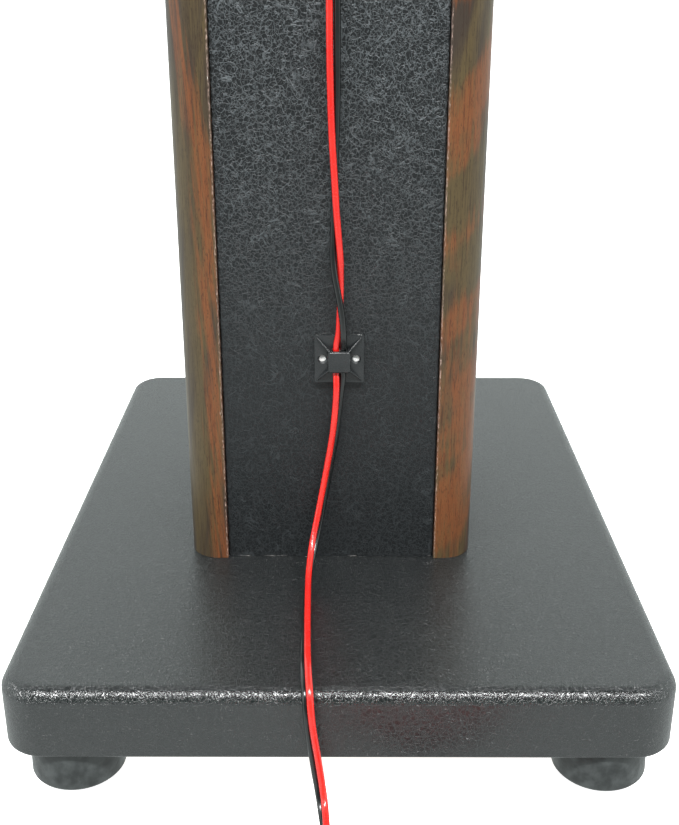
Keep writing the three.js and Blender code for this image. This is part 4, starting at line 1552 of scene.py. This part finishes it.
@dataclass(frozen=True)
class Softbox:
    """A rectangular soft light that looks at the stand."""

    name: str
    position: Point
    size: tuple[float, float]
    power: float
    aim: Point = (0.0, -0.1, 0.2)

    def build(self) -> None:
        """Adds the light."""
        light = bpy.data.lights.new(self.name, "AREA")
        light.shape = "RECTANGLE"
        light.size, light.size_y = self.size
        light.energy = self.power
        lamp = bpy.data.objects.new(self.name, light)
        lamp.location = self.position
        towards = Vector(self.aim) - Vector(self.position)
        lamp.rotation_euler = towards.to_track_quat("-Z", "Y").to_euler()
        bpy.context.scene.collection.objects.link(lamp)


@dataclass
class Studio:
    """A white room: bright walls behind and beside the stand, dim overhead and low down in front."""

    floor_size: float = 60.0
    floor_near: float = 0.95
    floor_front: float = 0.30
    walls: float = 1.35
    front: float = 0.26
    overhead: float = 0.08
    tint: tuple = rgb(0.92, 1.0, 0.985)
    # where along Y the floor dims, and where in a direction's Y and Z the walls and the ceiling do
    floor_fade: tuple[float, float] = (-0.9, -0.40)
    wall_fade: tuple[float, float] = (-0.75, -0.30)
    ceiling_fade: tuple[float, float] = (0.72, 0.92)
    lights: tuple[Softbox, ...] = (
        Softbox("key_light", (0.0, -1.65, 2.55), (3.4, 0.36), 205),
        Softbox("left_light", (-2.4, -0.9, 0.9), (1.0, 1.6), 9),
        Softbox("right_light", (2.4, -0.9, 0.9), (1.0, 1.6), 4),
    )

    def floor(self) -> None:
        """Adds the floor, which the camera sees as white paper and the stand sees dimmer far in front."""
        bpy.ops.mesh.primitive_plane_add(size=self.floor_size)
        floor = adopt("studio_floor")
        shader = Shader("studio_paper")
        paper = shader.cloud(0.3, 2)
        seen = shader.add("LightPath").outputs["Is Camera Ray"]
        pale = shader.mix(paper, rgb(0.90, 0.90, 0.90), rgb(0.93, 0.93, 0.93))
        colour = shader.mix(seen, rgb(0.06, 0.06, 0.06), pale)
        ahead = shader.ramp(shader.axes()[1], *self.floor_fade, self.floor_front, self.floor_near)
        shader.feed(shader.surface.inputs["Emission Color"], shader.mix(seen, self.tint, rgb(1, 1, 1)))
        shader.feed(shader.surface.inputs["Emission Strength"], shader.math("MAXIMUM", ahead, seen))
        floor.data.materials.append(shader.finish(colour, 0.9))

    def world(self) -> None:
        """Lights the world by direction; the camera itself sees plain white."""
        world = bpy.data.worlds.new("surround")
        bpy.context.scene.world = world
        world.use_nodes = True
        room = Nodes(world.node_tree, "Generated")
        _, depth, height = room.axes()
        wall = room.ramp(depth, *self.wall_fade, self.front, self.walls)
        share = room.ramp(height, *self.ceiling_fade, 1, self.overhead / self.walls)
        seen = room.add("LightPath").outputs["Is Camera Ray"]
        glow = room.math("MAXIMUM", room.times(wall, share), seen)
        background = world.node_tree.nodes["Background"]
        room.feed(background.inputs["Strength"], glow)
        room.feed(background.inputs["Color"], room.mix(seen, self.tint, rgb(1, 1, 1)))

    def build(self) -> None:
        """Builds the studio and sets how its light is shown."""
        self.floor()
        self.world()
        for light in self.lights:
            light.build()
        bpy.context.scene.view_settings.view_transform = "Standard"


def main() -> None:
    """Builds the camera, the lead and then each sub-assembly."""
    logging.basicConfig(level=logging.INFO, format="%(name)s: %(message)s")
    Viewpoint().build()
    SpeakerLead().build()
    for assembly in (Boards(), Column(), Foot(), Fixings(), TieMount(), Studio()):
        LOG.info("building %s", type(assembly).__name__)
        assembly.build()


if __name__ == "__main__":
    main()
